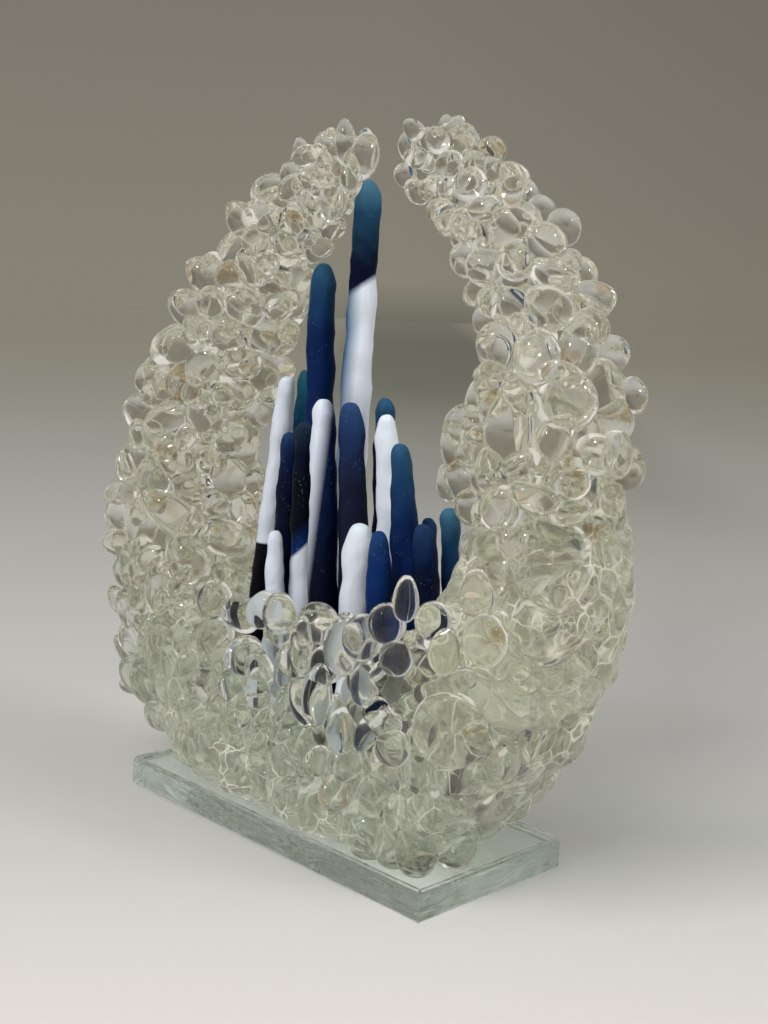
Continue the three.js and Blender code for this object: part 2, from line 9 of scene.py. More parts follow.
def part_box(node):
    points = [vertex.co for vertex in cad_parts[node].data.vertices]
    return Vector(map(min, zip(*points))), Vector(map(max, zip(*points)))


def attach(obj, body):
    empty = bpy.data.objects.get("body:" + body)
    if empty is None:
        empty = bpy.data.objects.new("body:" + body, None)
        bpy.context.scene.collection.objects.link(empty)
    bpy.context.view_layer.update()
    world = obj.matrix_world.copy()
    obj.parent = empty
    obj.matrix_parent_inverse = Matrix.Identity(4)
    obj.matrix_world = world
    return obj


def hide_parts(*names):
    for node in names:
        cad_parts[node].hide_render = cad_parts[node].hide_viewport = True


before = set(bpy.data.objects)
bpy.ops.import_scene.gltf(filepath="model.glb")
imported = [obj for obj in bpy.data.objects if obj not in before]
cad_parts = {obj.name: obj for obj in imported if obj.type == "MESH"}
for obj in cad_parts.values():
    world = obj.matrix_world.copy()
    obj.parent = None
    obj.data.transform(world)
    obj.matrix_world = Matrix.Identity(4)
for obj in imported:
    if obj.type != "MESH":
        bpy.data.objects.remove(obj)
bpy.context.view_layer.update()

# Sizes are in millimetres unless noted; angles round the crescent are degrees from its lowest point
MM = 0.001
UP = Vector((0, 0, 1))
ORIGIN = Vector((0, 0, 0))

# Plate, as the solids have it
SEAM = 0.3
PLATE_LENGTH = 164
PLATE_DEPTH = 73
PLATE_THICKNESS = 12
PLATE_TOP = PLATE_THICKNESS + SEAM
PLATE_ARRIS = 1.4

# Crescent, as the solids have it: a broken ring that stands on the plate and is cut in three by two seams
CRESCENT_RADIUS = 124
CRESCENT_OFFSET = -4
CRESCENT_YAW = math.radians(3)
CENTRE_HEIGHT = PLATE_TOP + CRESCENT_RADIUS
LEFT_SEAM = -56
RIGHT_SEAM = 60
# Place along the plate that lies between the two horns
HORNS_PART = 15

# Sections of the crescent: angle, swell beyond the circle, width along the radius, depth
SECTIONS = [
    (-180, -4, 16, 16), (-165, -12, 28, 25), (-140, -21, 40, 36), (-115, -16, 50, 42),
    (-90, 0, 54, 48), (-65, 17, 66, 54), (-45, 30, 71, 57), (-22, 11, 49, 60),
    (0, 4, 40, 62), (28, 18, 54, 62), (42, 13, 58, 62), (60, 7, 60, 58),
    (90, 4, 54, 50), (115, 7, 37, 41), (140, 7, 26, 32), (160, 5, 19, 22),
]
SECTION_POWER = 3.6

# Walls of pebbles in front of the fingers and behind them; heights are above the plate
POCKET_FLOOR = PLATE_TOP + 36
WALL_LEFT = -46
WALL_RIGHT = 74
WALL_OFFSET = 25
WALL_SPREAD = 4
WALL_HEIGHT_LEFT = 75
WALL_HEIGHT_RIGHT = 82
# Front pebbles beyond this place along the plate lie on the right horn
HORN_FRONT_FROM = WALL_RIGHT + 14

# Pebbles: smallest and largest radius of each pass and its tries; least distance as a share of contact
PEBBLE_PASSES = [(9.5, 13, 1200), (7.5, 9.5, 3500), (6, 7.5, 6000), (5, 6, 6000)]
LARGEST_PEBBLE = max(largest for _, largest, _ in PEBBLE_PASSES)
PEBBLE_CLOSENESS = 0.74
PEBBLE_FINENESS = 3
PEBBLE_SEED = 5

# How many of the pebble forms, the plainest first, serve for pebbles with known places and for the front
KNOWN_FORMS = 2
FRONT_FORMS = 3

# Shape of a pebble: length over width, thickness over radius, turn in radians
PEBBLE_STRETCH = (1.0, 1.35)
PEBBLE_THICKNESS = (0.85, 1.0)
PEBBLE_TURN = (-1.6, 1.6)

# Pebbles on the crescent: largest radius over half a section, how proud they stand of it, share on its skin
CRESCENT_LARGEST = 0.45
PEBBLE_PROUD = 4.2
PROUD_SPREAD = (-2, 1.5)
SKIN_SHARE = 0.8

# Pebbles in the walls: one in so many tries, largest radius, share of it that stays below the wall's top
WALL_EVERY = 5
WALL_LARGEST = 8
WALL_SINK = 0.5

# Room that a pebble keeps, as shares of its radius: above the plate, from a finger, from the sight of one
PLATE_ROOM = 0.85
FINGER_ROOM = 0.7
SIGHT_ROOM = 0.75
SIGHT_STEPS = 12

# Low in the cradle pebbles have run: height where that starts, depth to its full effect on length and turn
RUN_TOP = 95
RUN_GROWTH = 50
RUN_STRETCH = 0.4
RUN_STEADINESS = 0.8

# The outer rim has melted smooth: middle angle, angle either way, where across it starts and grows
MELTED_ANGLE = 52
MELTED_REACH = 48
MELTED_FROM = 0.3
MELTED_GROWTH = 0.5
MELTED_SINK = PEBBLE_PROUD + 1

# Core of glass that has run together: how far inside the sections it lies, at most and up the right horn, its
# swell at the melted rim, its rounded ends, the overlap of two cores and its height above the plate
CORE_INSET = 4.5
CORE_DEEPEST = 0.6
CORE_THINNING = 1.6
CORE_END_ANGLE = 100
CORE_SWELL = 2.5
CORE_SIDES = 72
CORE_STEP = 1.5
CORE_ROUNDING = 9
CORE_TIP = 0.02
CORE_OVERLAP = 6
CORE_CLEARANCE = 0.2

# Waves and cobbles on the core: size, height, and the tone of the pattern that leaves the surface where it is
WAVE_SIZE = 16
WAVE_HEIGHT = 3
WAVE_LEVEL = 0.55
COBBLE_SIZE = 11
COBBLE_DEPTH = 4.4
COBBLE_LEVEL = 0.25

# Foot of the core, square and full: middle angle, angle either way, angle over which it fades
FOOT_ANGLE = -8
FOOT_REACH = 18
FOOT_FADE = 16
FOOT_POWER = 9
FOOT_SWELL = 2

# Pebbles that stand out at the crescent's edge, on its middle plane: along, height, half width, half height
EDGE_PEBBLES = [
    (3.4, 249, 5.5, 9), (-6, 252, 5, 8), (-16, 251, 5, 6.4), (-30, 249, 4.5, 6), (-37, 242, 4, 6.5),
    (-12.5, 234, 5.5, 9.5), (-3, 242, 5, 8), (-13, 219, 4.6, 6.6), (-24, 243, 6, 7), (-22, 229, 6, 7),
    (-12, 244, 6, 6),
    (28, 252, 4, 5), (34, 256, 4, 5), (43, 255, 4, 5), (41, 247, 4.6, 5), (51, 242, 4.4, 8),
    (46, 234, 4.5, 6), (39, 238, 4.4, 6), (44, 227, 4.4, 6), (58, 220, 5, 7), (68, 229, 5, 7),
    (88, 213, 5, 7), (64, 205, 5, 6), (65, 190, 5, 6), (67, 176, 5, 6),
    (-128, 159, 6, 6), (-120, 158, 6, 6), (-138, 106, 6, 7), (-141, 84, 7, 7), (-133, 62, 6, 6),
    (-125, 66, 7, 7), (-130, 44, 8, 9), (-120, 46, 8, 8), (-134, 23, 8, 4.5), (-121, 27, 8, 7),
    (-104, 20, 11, 7.5), (-110, 34, 8, 8),
]

# Pebbles at the crescent's near foot: along, depth, height, radius; their sides over it; how they melted in
FOOT_PEBBLES = [(50, -29, 19, 7), (61, -28, 19, 7), (71, -27, 20, 7.5), (78, -17, 23, 7.5), (66, -20, 21, 8)]
FOOT_SHAPE = (1.2, 1.35, 1)
FOOT_MELTED = 0.72
FOOT_LIFT = 3

# Small pebbles on the inner side of the right horn: along, depth, height, radius; their sides over it
INNER_PEBBLES = [
    (73, -10, 169.5, 6), (67, -10, 161, 6.5), (74, -10, 160, 6.5), (65, -10, 151.5, 7), (72, -10, 151.5, 7),
    (69, -10, 143.5, 8), (61, -10, 140, 5), (73.5, -10, 136, 7),
]
INNER_SHAPE = (1, 1.15, 1)

# Turn either way, in radians, of pebbles with known places
KNOWN_TURN = 0.3
INNER_TURN = 1
KNOWN_PEBBLES = len(EDGE_PEBBLES) + len(FOOT_PEBBLES)

# Finger: foot and tip in plan, height of the tip above the plate, diameter, share of it under the tip
FINGERS = {
    "finger_tallest_blue_white": ((-13, 12), (-6.5, 12), 230, 11.8, 0.84),
    "finger_tall_navy": ((-22, 6), (-25.5, 8), 199, 12, 0.8),
    "finger_left_white": ((-55, 3), (-38, 3), 156, 9.4, 0.8),
    "finger_left_teal": ((-42, 17), (-44, 17), 158, 9, 0.85),
    "finger_left_navy": ((-29, -5), (-29, -3), 135.5, 9.6, 0.75),
    "finger_white_blue": ((3, -10), (-4, -9), 151, 11.4, 0.74),
    "finger_navy_white_foot": ((-15, -7), (-17, -6), 141, 9.2, 0.8),
    "finger_short_white_left": ((-15, -18), (-20.5, -16), 100.5, 7.8, 0.9),
    "finger_centre_navy": ((14, -3), (5.5, -4), 150.5, 11.8, 0.76),
    "finger_short_white": ((26, -17), (25, -16), 110, 11.6, 0.96),
    "finger_back_navy": ((8, 14), (6.5, 12), 152, 9.2, 0.7),
    "finger_right_white": ((28, 3), (17.5, 2), 147, 11.2, 0.66),
    "finger_short_blue": ((46, -21), (38.5, -20), 110, 10.6, 0.68),
    "finger_right_blue": ((48, -6), (33.5, -6), 138.5, 12.8, 0.6),
    "finger_short_navy": ((63, -14), (52.5, -12), 113.5, 11.2, 0.68),
    "finger_back_short_navy": ((41, 8), (37, 6), 112, 8.8, 0.8),
    "finger_far_right_blue": ((61, 2), (51.5, 1), 118, 8.6, 0.85),
}
FINGER_FOOT = POCKET_FLOOR - 3
FINGER_VIEW_HEIGHT = PLATE_TOP + 78
FINGER_SIDES = 12
FINGER_RINGS = 12
FINGER_STRAIGHT = 0.45
FINGER_ROUNDING = 1.06
# Size and height of the waves and of the dents on a finger
FINGER_WAVER = (11, 2)
FINGER_DENTS = (4.5, 0.45)
# Tip of a finger: share of the way up it, share of the diameter under it
TIP_RINGS = [(0.0, 1.0), (0.45, 0.92), (0.8, 0.7), (0.98, 0.36)]

# Rods laid on the front: length, diameter, tilt in degrees; rounding and fineness over the diameter
FRONT_RODS = {
    "front_rod_long": (22, 9, -30),
    "front_rod_short": (15, 9.2, -31),
    "front_rod_stub": (27, 6.4, 28),
}
ROD_SIDES = 28
ROD_ROUNDING = 0.3
ROD_FINENESS = 0.06
# Size and height of the waves on a rod
ROD_WAVER = (8, 1.2)

# Way the large disc on the front faces
DISC_FACING = Vector((0.45, -0.9, 0))

# Camera: place, the directions of the picture's right, down and depth, its lens, by its length in pixels
CAMERA_PLACE = Vector((379.154, -351.692, 208.612))
CAMERA_RIGHT = Vector((0.694715, 0.718079, 0.041637))
CAMERA_DOWN = Vector((0.147653, -0.085717, -0.985318))
CAMERA_AHEAD = Vector((-0.703967, 0.690663, -0.165575))
SENSOR_WIDTH = 36
FOCAL_PIXELS = 1420
PICTURE_HEIGHT = 1024
CAMERA_LENS = SENSOR_WIDTH * FOCAL_PIXELS / PICTURE_HEIGHT

# Level directions of the studio: to its backdrop, to the right in front of it, and away from it
BACKDROP_WAY = Vector((-0.72, 0.69, 0))
FRONT_RIGHT = Vector((0.695, 0.719, 0))
TO_FRONT = Vector((0.719, -0.695, 0))

# Lamps: place and size in metres, watts; only the small ones show in the glass, as glints
LAMPS = {
    "lamp_front": ((0.2, -1.25, 1.6), 1.4, 31.5),
    "lamp_right": ((1.1, 0.5, 0.9), 0.7, 5.5),
    "lamp_glint": ((-0.2, -1.1, 1.4), 0.16, 4.5),
    "lamp_glint_right": ((1.2, 0.3, 1.1), 0.12, 4),
}
LAMP_TARGET = Vector((0, 0, 0.1))
GLINT_SIZE = 0.3
LIGHT_BOUNCES = 32


class Chance:
    """Seeded numbers that come out the same every time."""

    FACTOR = 1664525
    STEP = 1013904223
    RANGE = 2 ** 32

    def __init__(self, seed):
        self.state = seed

    def between(self, low, high):
        self.state = (self.state * self.FACTOR + self.STEP) % self.RANGE
        return low + (high - low) * self.state / self.RANGE

    def one_of(self, things):
        return things[int(self.between(0, len(things)))]


class Signal:
    """A shader socket that takes part in sums."""

    def __init__(self, tree, socket):
        self.tree = tree
        self.socket = socket

    def math(self, operation, other=0.0, swapped=False):
        made = self.tree.nodes.new("ShaderNodeMath")
        made.operation = operation
        pair = (other, self) if swapped else (self, other)
        for place, value in zip(made.inputs, pair):
            if isinstance(value, Signal):
                self.tree.links.new(value.socket, place)
            else:
                place.default_value = value
        return Signal(self.tree, made.outputs[0])

    def __add__(self, other):
        return self.math("ADD", other)

    __radd__ = __add__

    def __sub__(self, other):
        return self.math("SUBTRACT", other)

    def __rsub__(self, other):
        return self.math("SUBTRACT", other, swapped=True)

    def __mul__(self, other):
        return self.math("MULTIPLY", other)

    __rmul__ = __mul__

    def __truediv__(self, other):
        return self.math("DIVIDE", other)

    def away_from(self, middle):
        return (self - middle).math("ABSOLUTE")

    def clamped(self):
        return self.math("MAXIMUM", 0.0).math("MINIMUM", 1.0)

    def rising(self, start, reach):
        """Share that goes from 0 at the start to 1 a reach further on."""
        return ((self - start) / reach).clamped()

    def falling(self, end, reach):
        """Share that goes from 1 to 0 over the last reach before the end."""
        return ((end - self) / reach).clamped()


class Finish:
    """A material, or the world, built up node by node."""

    def __init__(self, owner):
        owner.use_nodes = True
        self.owner = owner
        self.tree = owner.node_tree
        self.tree.nodes.clear()

    def node(self, kind, settings, output, inputs):
        """Adds a node with its settings, fills its sockets and gives back one of its outputs."""
        made = self.tree.nodes.new(kind)
        for key, value in settings.items():
            if key == "stops":
                self.set_stops(made.color_ramp, value)
            else:
                setattr(made, key, value)
        for key, value in inputs.items():
            if isinstance(value, Signal):
                self.tree.links.new(value.socket, made.inputs[key])
            else:
                made.inputs[key].default_value = value
        return Signal(self.tree, made.outputs[output]) if made.outputs else made

    @staticmethod
    def set_stops(ramp, stops):
        while len(ramp.elements) < len(stops):
            ramp.elements.new(1.0)
        for element, (position, tone) in zip(ramp.elements, stops):
            element.position = position
            element.color = (*tone, 1.0)

    def ramp(self, stops, share):
        """Colour that runs through stops, each a share and a tone."""
        return self.node("ShaderNodeValToRGB", {"stops": stops}, "Color", {"Fac": share})

    def place(self):
        return self.node("ShaderNodeTexCoord", {}, "Object", {})

    def stretched(self, scale):
        """Object coordinates, stretched along each axis by its own number."""
        return self.node("ShaderNodeMapping", {}, 0, {"Vector": self.place(), "Scale": scale})

    def noise(self, cells, detail=2.0, place=None, distortion=0.0):
        """Soft noise, with its cells to a metre."""
        return self.node("ShaderNodeTexNoise", {}, "Fac", {
            "Vector": place or self.place(), "Scale": cells, "Detail": detail, "Distortion": distortion,
        })

    def toward(self, way, place):
        """How far a place lies along a direction."""
        return self.node("ShaderNodeVectorMath", {"operation": "DOT_PRODUCT"}, "Value", {0: place, 1: way})

    def along(self, way, start):
        """Millimetres along a direction from a point."""
        return self.toward(way, self.place()) / MM - way.dot(start)

    def level(self):
        """Millimetres above the underside of the plate."""
        return self.along(UP, ORIGIN)

    def blend(self, share, low, high):
        """Colour between two others."""
        return self.node("ShaderNodeMix", {"data_type": "RGBA"}, 2, {0: share, 6: low, 7: high})

    def bump(self, height, strength, distance):
        sockets = {"Height": height, "Strength": strength, "Distance": distance}
        return self.node("ShaderNodeBump", {}, 0, sockets)

    def mixed(self, share, first, second):
        return self.node("ShaderNodeMixShader", {}, 0, {0: share, 1: first, 2: second})

    def output(self, shader, kind="ShaderNodeOutputMaterial"):
        self.node(kind, {}, 0, {"Surface": shader})
        return self.owner

    def lit_through(self, shader, tint):
        """Output of a shader that lamps shine through, with their light tinted."""
        clear = self.node("ShaderNodeBsdfTransparent", {}, 0, {"Color": tint})
        lamp_ray = self.node("ShaderNodeLightPath", {}, "Is Shadow Ray", {})
        return self.output(self.mixed(lamp_ray, shader, clear))


def colour(red, green, blue):
    return (red, green, blue, 1.0)


# Satin glass of the fingers
NAVY = colour(0.002, 0.012, 0.06)
NAVY_DARK = colour(0.001, 0.003, 0.015)
NAVY_TIP = colour(0.013, 0.058, 0.12)
TEAL_TIP = colour(0.007, 0.07, 0.105)
PALE_TIP = colour(0.02, 0.085, 0.165)
CENTRE_TIP = colour(0.012, 0.032, 0.11)
BLUE = colour(0.0025, 0.02, 0.105)
PURPLE_DARK = colour(0.006, 0.008, 0.022)
BLACK_NAVY = colour(0.001, 0.0015, 0.005)
OPAL = colour(0.63, 0.66, 0.71)
OPAL_SHADE = colour(0.5, 0.555, 0.65)
# Fine flecks painted into the colour of the fingers: grains in the glass, drawn as the glints they catch
PAINTED_SPARKLE = colour(0.22, 0.3, 0.4)
PAINTED_SPARKLE_SHARE = 0.7
PAINTED_SPARKLE_CELLS = 800.0
# Painted sheen of light from above at the very tip of a finger: colour, reach, and its soft strength
PAINTED_TIP_SHEEN = colour(0.06, 0.15, 0.22)
PAINTED_TIP_SHEEN_REACH = 12
SOFT_PAINTED_SHEEN = 0.12
SHAFT_DARK_SHARE = 0.55
SATIN_GRAIN_CELLS = 2600.0
SATIN_GRAIN_SHARE = 0.12
SATIN_DENT_CELLS = 130.0
SATIN_DENT_HEIGHT = 1.1

# Where the colours of a finger meet: height above the floor or place across it, and slant
TALLEST_JOINT = 204
TALLEST_SLANT = 0.7
TALLEST_WHITE_EDGE = -2.2
TALLEST_WHITE_MIDDLE = 187
TALLEST_WHITE_TAPER = 0.05
LEFT_JOINT = 102
WHITE_BLUE_EDGE = 1.6
WHITE_BLUE_KNEE = 158
WHITE_BLUE_TAPER = 0.135
WHITE_FOOT_JOINT = 106
WHITE_FOOT_BLUE = 5

# Tints of clear glass
WARM_TINTS = (colour(0.95, 0.945, 0.89), colour(0.985, 0.98, 0.95))
CORE_TINTS = (colour(0.965, 0.965, 0.93), colour(0.985, 0.985, 0.965))
FRONT_TINTS = (colour(0.96, 0.965, 0.94), colour(0.99, 0.99, 0.98))
ROD_TINTS = (colour(0.94, 0.95, 0.92), colour(0.97, 0.975, 0.96))
MILK_AND_RIM_LIGHT_TINTS = (colour(0.62, 0.61, 0.5), colour(0.72, 0.71, 0.6))
LAMP_TINT = colour(0.86, 0.88, 0.86)
DRIFT_CELLS = 45.0
RIPPLE_CELLS = 160.0
RIPPLE_HEIGHT = 0.4

# Tint of clear glass low down, with the height where it ends and the depth over which it grows
LOW_TINT = colour(0.963, 0.973, 0.945)
LOW_TINT_SPAN = (85, 45)

# Tan stains: cells to a metre, and the share of their noise where they start and grow
STAIN = colour(0.68, 0.5, 0.3)
STAIN_CELLS = 95.0
STAIN_SPAN = (0.665, 1 / 14)

# Milky veil and painted rim light: slope where a pale rim, painted in for bright edge reflections, starts
# and grows, a height above the whole sculpture, fade of the haze
RIM_SPAN = (0.5, 1 / 1.2)
ABOVE_ALL = 400
HAZE_FADE = 60

# Pale lines where melted pebbles meet: cells to a metre, half width in cells, wander in metres, patches
VEIN_CELLS = 105.0
VEIN_WIDTH = 0.05
VEIN_WANDER = (0.006, 0.006, 0.006)
VEIN_WANDER_CELLS = 90.0
VEIN_PATCH_CELLS = 60.0
VEIN_PATCH_SPAN = (0.42, 1 / 6)

# Float glass of the plate: its tint, and that of its edge with the waves on it
PLATE_TINT = colour(0.955, 0.975, 0.96)
PLATE_EDGE_TINT = colour(0.74, 0.835, 0.79)
PLATE_LAMP_TINT = colour(0.93, 0.96, 0.94)
PLATE_FACE = 0.4
PLATE_FACE_FADE = 0.5
PLATE_WAVE_CELLS = 55.0
PLATE_WAVE_HEIGHT = 2.2

# Floor of pale paper: radius in metres, tones by share of it from the middle out, which paint the fall of
# light over it, tone of the painted light in front
FLOOR_RADIUS = 6
FLOOR_SIDES = 96
FLOOR_DROP = 0.3
FLOOR_PAINTED_TONES = [
    (0.0, (0.53, 0.515, 0.5)), (0.025, (0.48, 0.47, 0.455)), (0.05, (0.46, 0.455, 0.44)),
    (0.09, (0.435, 0.43, 0.41)), (0.15, (0.43, 0.425, 0.4)), (0.3, (0.47, 0.455, 0.395)),
    (0.5, (0.528, 0.497, 0.415)), (1.0, (0.58, 0.544, 0.453)),
]
FLOOR_PAINTED_NEAR_LIGHT = colour(0.63, 0.588, 0.577)
FLOOR_PAINTED_NEAR_LIGHT_SPAN = (0, 250)

# Painted shade and painted shadows on the floor: strength, where each starts and its reach, or where it ends
# and its fade; distances from the middle are in metres
FLOOR_PAINTED_SHADE = colour(0.12, 0.12, 0.12)
BEHIND_SPAN = (-60, 160)
SIDE_STRENGTH = 0.2
SIDE_SPAN = (-60, 320)
SIDE_END = (1.4, 1.4)
SHADOW_STRENGTH = 0.33
SHADOW_MIDDLE = 135
SHADOW_SLANT = 0.2
SHADOW_END = (120, 120)
SHADOW_FAR_END = (0.7, 0.7)
FAR_PAINTED_SHADE = colour(0.12, 0.12, 0.1)
FAR_STRENGTH = 0.64
FAR_SPAN = (1.2, 3.0)
# Painted shadow: a stripe of shade on the floor behind the sculpture
PAINTED_SHADOW_TONE = colour(0.1, 0.11, 0.08)
SHADOW_STRIPE_MIDDLE = 130
SHADOW_STRIPE_END = (290, 120)
SHADOW_STRIPE_STEPS = [(0.22, (500, 400)), (0.33, (1200, 900))]
SHADOW_STRIPE_LOSS = (0.25, (3600, 1600))

# Room and backdrop: tones from the horizon up, and where along a direction of length 1 each starts and grows
ROOM_TONES = [(0.0, (0.6, 0.6, 0.57)), (0.3, (0.645, 0.645, 0.615)), (1.0, (0.76, 0.76, 0.73))]
BACKDROP_TONES = [(0.0, (0.24, 0.225, 0.18)), (0.18, (0.2, 0.186, 0.152)), (1.0, (0.2, 0.186, 0.152))]
BACKDROP_SPAN = (0.3, 0.4)
BACKDROP_RIGHT_SHADE = 0.6
# Painted shadow patch on the backdrop behind the sculpture: strength, middle, end, top
PATCH_STRENGTH = 0.6
PATCH_MIDDLE = 0.04
PATCH_END = (0.1, 0.05)
PATCH_TOP = (-0.006, 0.027)
ROOM_DARK = colour(0.14, 0.14, 0.14)
ROOM_DARK_STRENGTH = 0.5
ROOM_DARK_SPAN = (0.2, 0.5)
ROOM_LIGHT = 0.65
BLACK = colour(0, 0, 0)


def clear_glass(name, bend, tints, ripple, rim, haze=0.0, haze_top=ABOVE_ALL, veins=0.0):
    """Fire-polished clear glass: a drifting tint, soft ripples, painted pale rim light; lamps shine through
    it.
    """
    glass = Finish(bpy.data.materials.new(name))
    drift = glass.noise(DRIFT_CELLS, 1.0)
    stain = glass.noise(STAIN_CELLS).rising(*STAIN_SPAN)
    low_down = glass.level().falling(*LOW_TINT_SPAN)
    clear = glass.blend(low_down, glass.blend(drift, *tints), LOW_TINT)
    shader = glass.node("ShaderNodeBsdfPrincipled", {}, 0, {
        "Base Color": glass.blend(stain, clear, STAIN),
        "Roughness": 0.01 + 0.03 * glass.noise(300.0, 1.0),
        "IOR": bend,
        "Transmission Weight": 1.0,
        "Normal": glass.bump(glass.noise(RIPPLE_CELLS), ripple, RIPPLE_HEIGHT * MM),
    })
    milk_and_rim_light = glass.node("ShaderNodeBsdfPrincipled", {}, 0, {
        "Base Color": glass.blend(drift, *MILK_AND_RIM_LIGHT_TINTS),
        "Roughness": 0.35,
    })
    facing = glass.node("ShaderNodeLayerWeight", {}, "Facing", {"Blend": 0.5})
    veil = haze * glass.level().falling(haze_top, HAZE_FADE)
    if veins:
        wander = glass.node("ShaderNodeTexNoise", {}, "Color",
                            {"Vector": glass.place(), "Scale": VEIN_WANDER_CELLS})
        wavy = glass.node("ShaderNodeVectorMath", {"operation": "MULTIPLY_ADD"}, "Vector",
                          {0: wander, 1: VEIN_WANDER, 2: glass.place()})
        joint = glass.node("ShaderNodeTexVoronoi", {"feature": "DISTANCE_TO_EDGE"}, "Distance",
                           {"Vector": wavy, "Scale": VEIN_CELLS})
        patchy = glass.noise(VEIN_PATCH_CELLS, 1.0).rising(*VEIN_PATCH_SPAN)
        veil = veil + veins * patchy * joint.falling(VEIN_WIDTH, VEIN_WIDTH)
    # Pale outlines where the glass is seen edge on: a milky layer mixed in as painted rim light
    veiled = glass.mixed(veil + facing.rising(*RIM_SPAN) * rim, shader, milk_and_rim_light)
    return glass.lit_through(veiled, LAMP_TINT)


def plate_glass():
    """Float glass: clear through the top, green and wavy at the polished edges."""
    glass = Finish(bpy.data.materials.new("plate_glass"))
    below_top = glass.level().falling(PLATE_THICKNESS - PLATE_FACE, PLATE_FACE_FADE)
    on_edge = glass.level().rising(PLATE_FACE, PLATE_FACE_FADE) * below_top
    waves = glass.noise(PLATE_WAVE_CELLS, 3.0, glass.stretched((1, 1, 3.5)), 0.6)
    shader = glass.node("ShaderNodeBsdfPrincipled", {}, 0, {
        "Base Color": glass.blend(on_edge, PLATE_TINT, PLATE_EDGE_TINT),
        "Roughness": 0.01 + 0.04 * glass.noise(90.0, 1.0),
        "IOR": 1.5,
        "Transmission Weight": 1.0,
        "Normal": glass.bump(waves * on_edge, 1.0, PLATE_WAVE_HEIGHT * MM),
    })
    return glass.lit_through(shader, PLATE_LAMP_TINT)


class FingerGlass(Finish):
    """Satin etched glass of one finger, coloured by height above the floor and by place across its front."""

    def __init__(self, node):
        super().__init__(bpy.data.materials.new(node + "_satin"))
        foot, tip, height = FINGERS[node][:3]
        self.foot = Vector((*foot, FINGER_FOOT))
        self.tip = Vector((*tip, PLATE_TOP + height))
        self.height = self.level()
        lean = (self.tip - self.foot).dot(FRONT_RIGHT) / (self.tip.z - self.foot.z)
        self.across = self.along(FRONT_RIGHT, self.foot) - (self.height - self.foot.z) * lean

    def above(self, level, softness):
        """Share that goes from 0 to 1 round a level, which may itself be a signal."""
        return ((self.height - level) / softness + 0.5).clamped()

    def right_of(self, line, softness):
        return ((self.across - line) / softness + 0.5).clamped()

    def navy(self, shaft, tip, foot, reach, painted_sheen=SOFT_PAINTED_SHEEN):
        """Dark glass that pales over a reach below its tip, partly thin glass and partly painted light from
        above, and is near black at its foot; the tip takes a painted sheen.
        """
        rise = (self.height - (self.tip.z - reach)) / reach
        shaft_up = self.height.rising(self.foot.z, SHAFT_DARK_SHARE * (self.tip.z - self.foot.z))
        body = self.blend(shaft_up, foot, shaft)
        cloudy = self.noise(120.0, 3.0) * 0.7 - 0.35
        near_tip = self.height.rising(self.tip.z - PAINTED_TIP_SHEEN_REACH, PAINTED_TIP_SHEEN_REACH)
        return self.blend(painted_sheen * near_tip, self.blend((rise + cloudy).clamped(), body, tip), PAINTED_TIP_SHEEN)

    def opal(self):
        return self.blend(self.noise(60.0, 3.0, self.stretched((1, 1, 0.3))), OPAL_SHADE, OPAL)

    def satin(self, base, sparkles):
        """Etched skin over a colour, with fine glints painted into the colour where the glass is dark."""
        flecks = self.node("ShaderNodeTexVoronoi", {}, "Distance",
                           {"Vector": self.place(), "Scale": PAINTED_SPARKLE_CELLS})
        crowded = self.noise(90.0).rising(0.5, 1 / 6)
        glint = flecks.falling(0.2, 1 / 8) * crowded * sparkles * PAINTED_SPARKLE_SHARE
        dents = self.noise(SATIN_DENT_CELLS, 3.0, self.stretched((1, 1, 0.4)), 0.8)
        grain = self.noise(SATIN_GRAIN_CELLS, 1.0) * SATIN_GRAIN_SHARE + dents
        shader = self.node("ShaderNodeBsdfPrincipled", {}, 0, {
            "Base Color": self.blend(glint, base, PAINTED_SPARKLE),
            "Roughness": 0.36 + 0.2 * self.noise(200.0),
            "Specular IOR Level": 0.07,
            "Normal": self.bump(grain, 0.7, SATIN_DENT_HEIGHT * MM),
        })
        return self.output(shader)


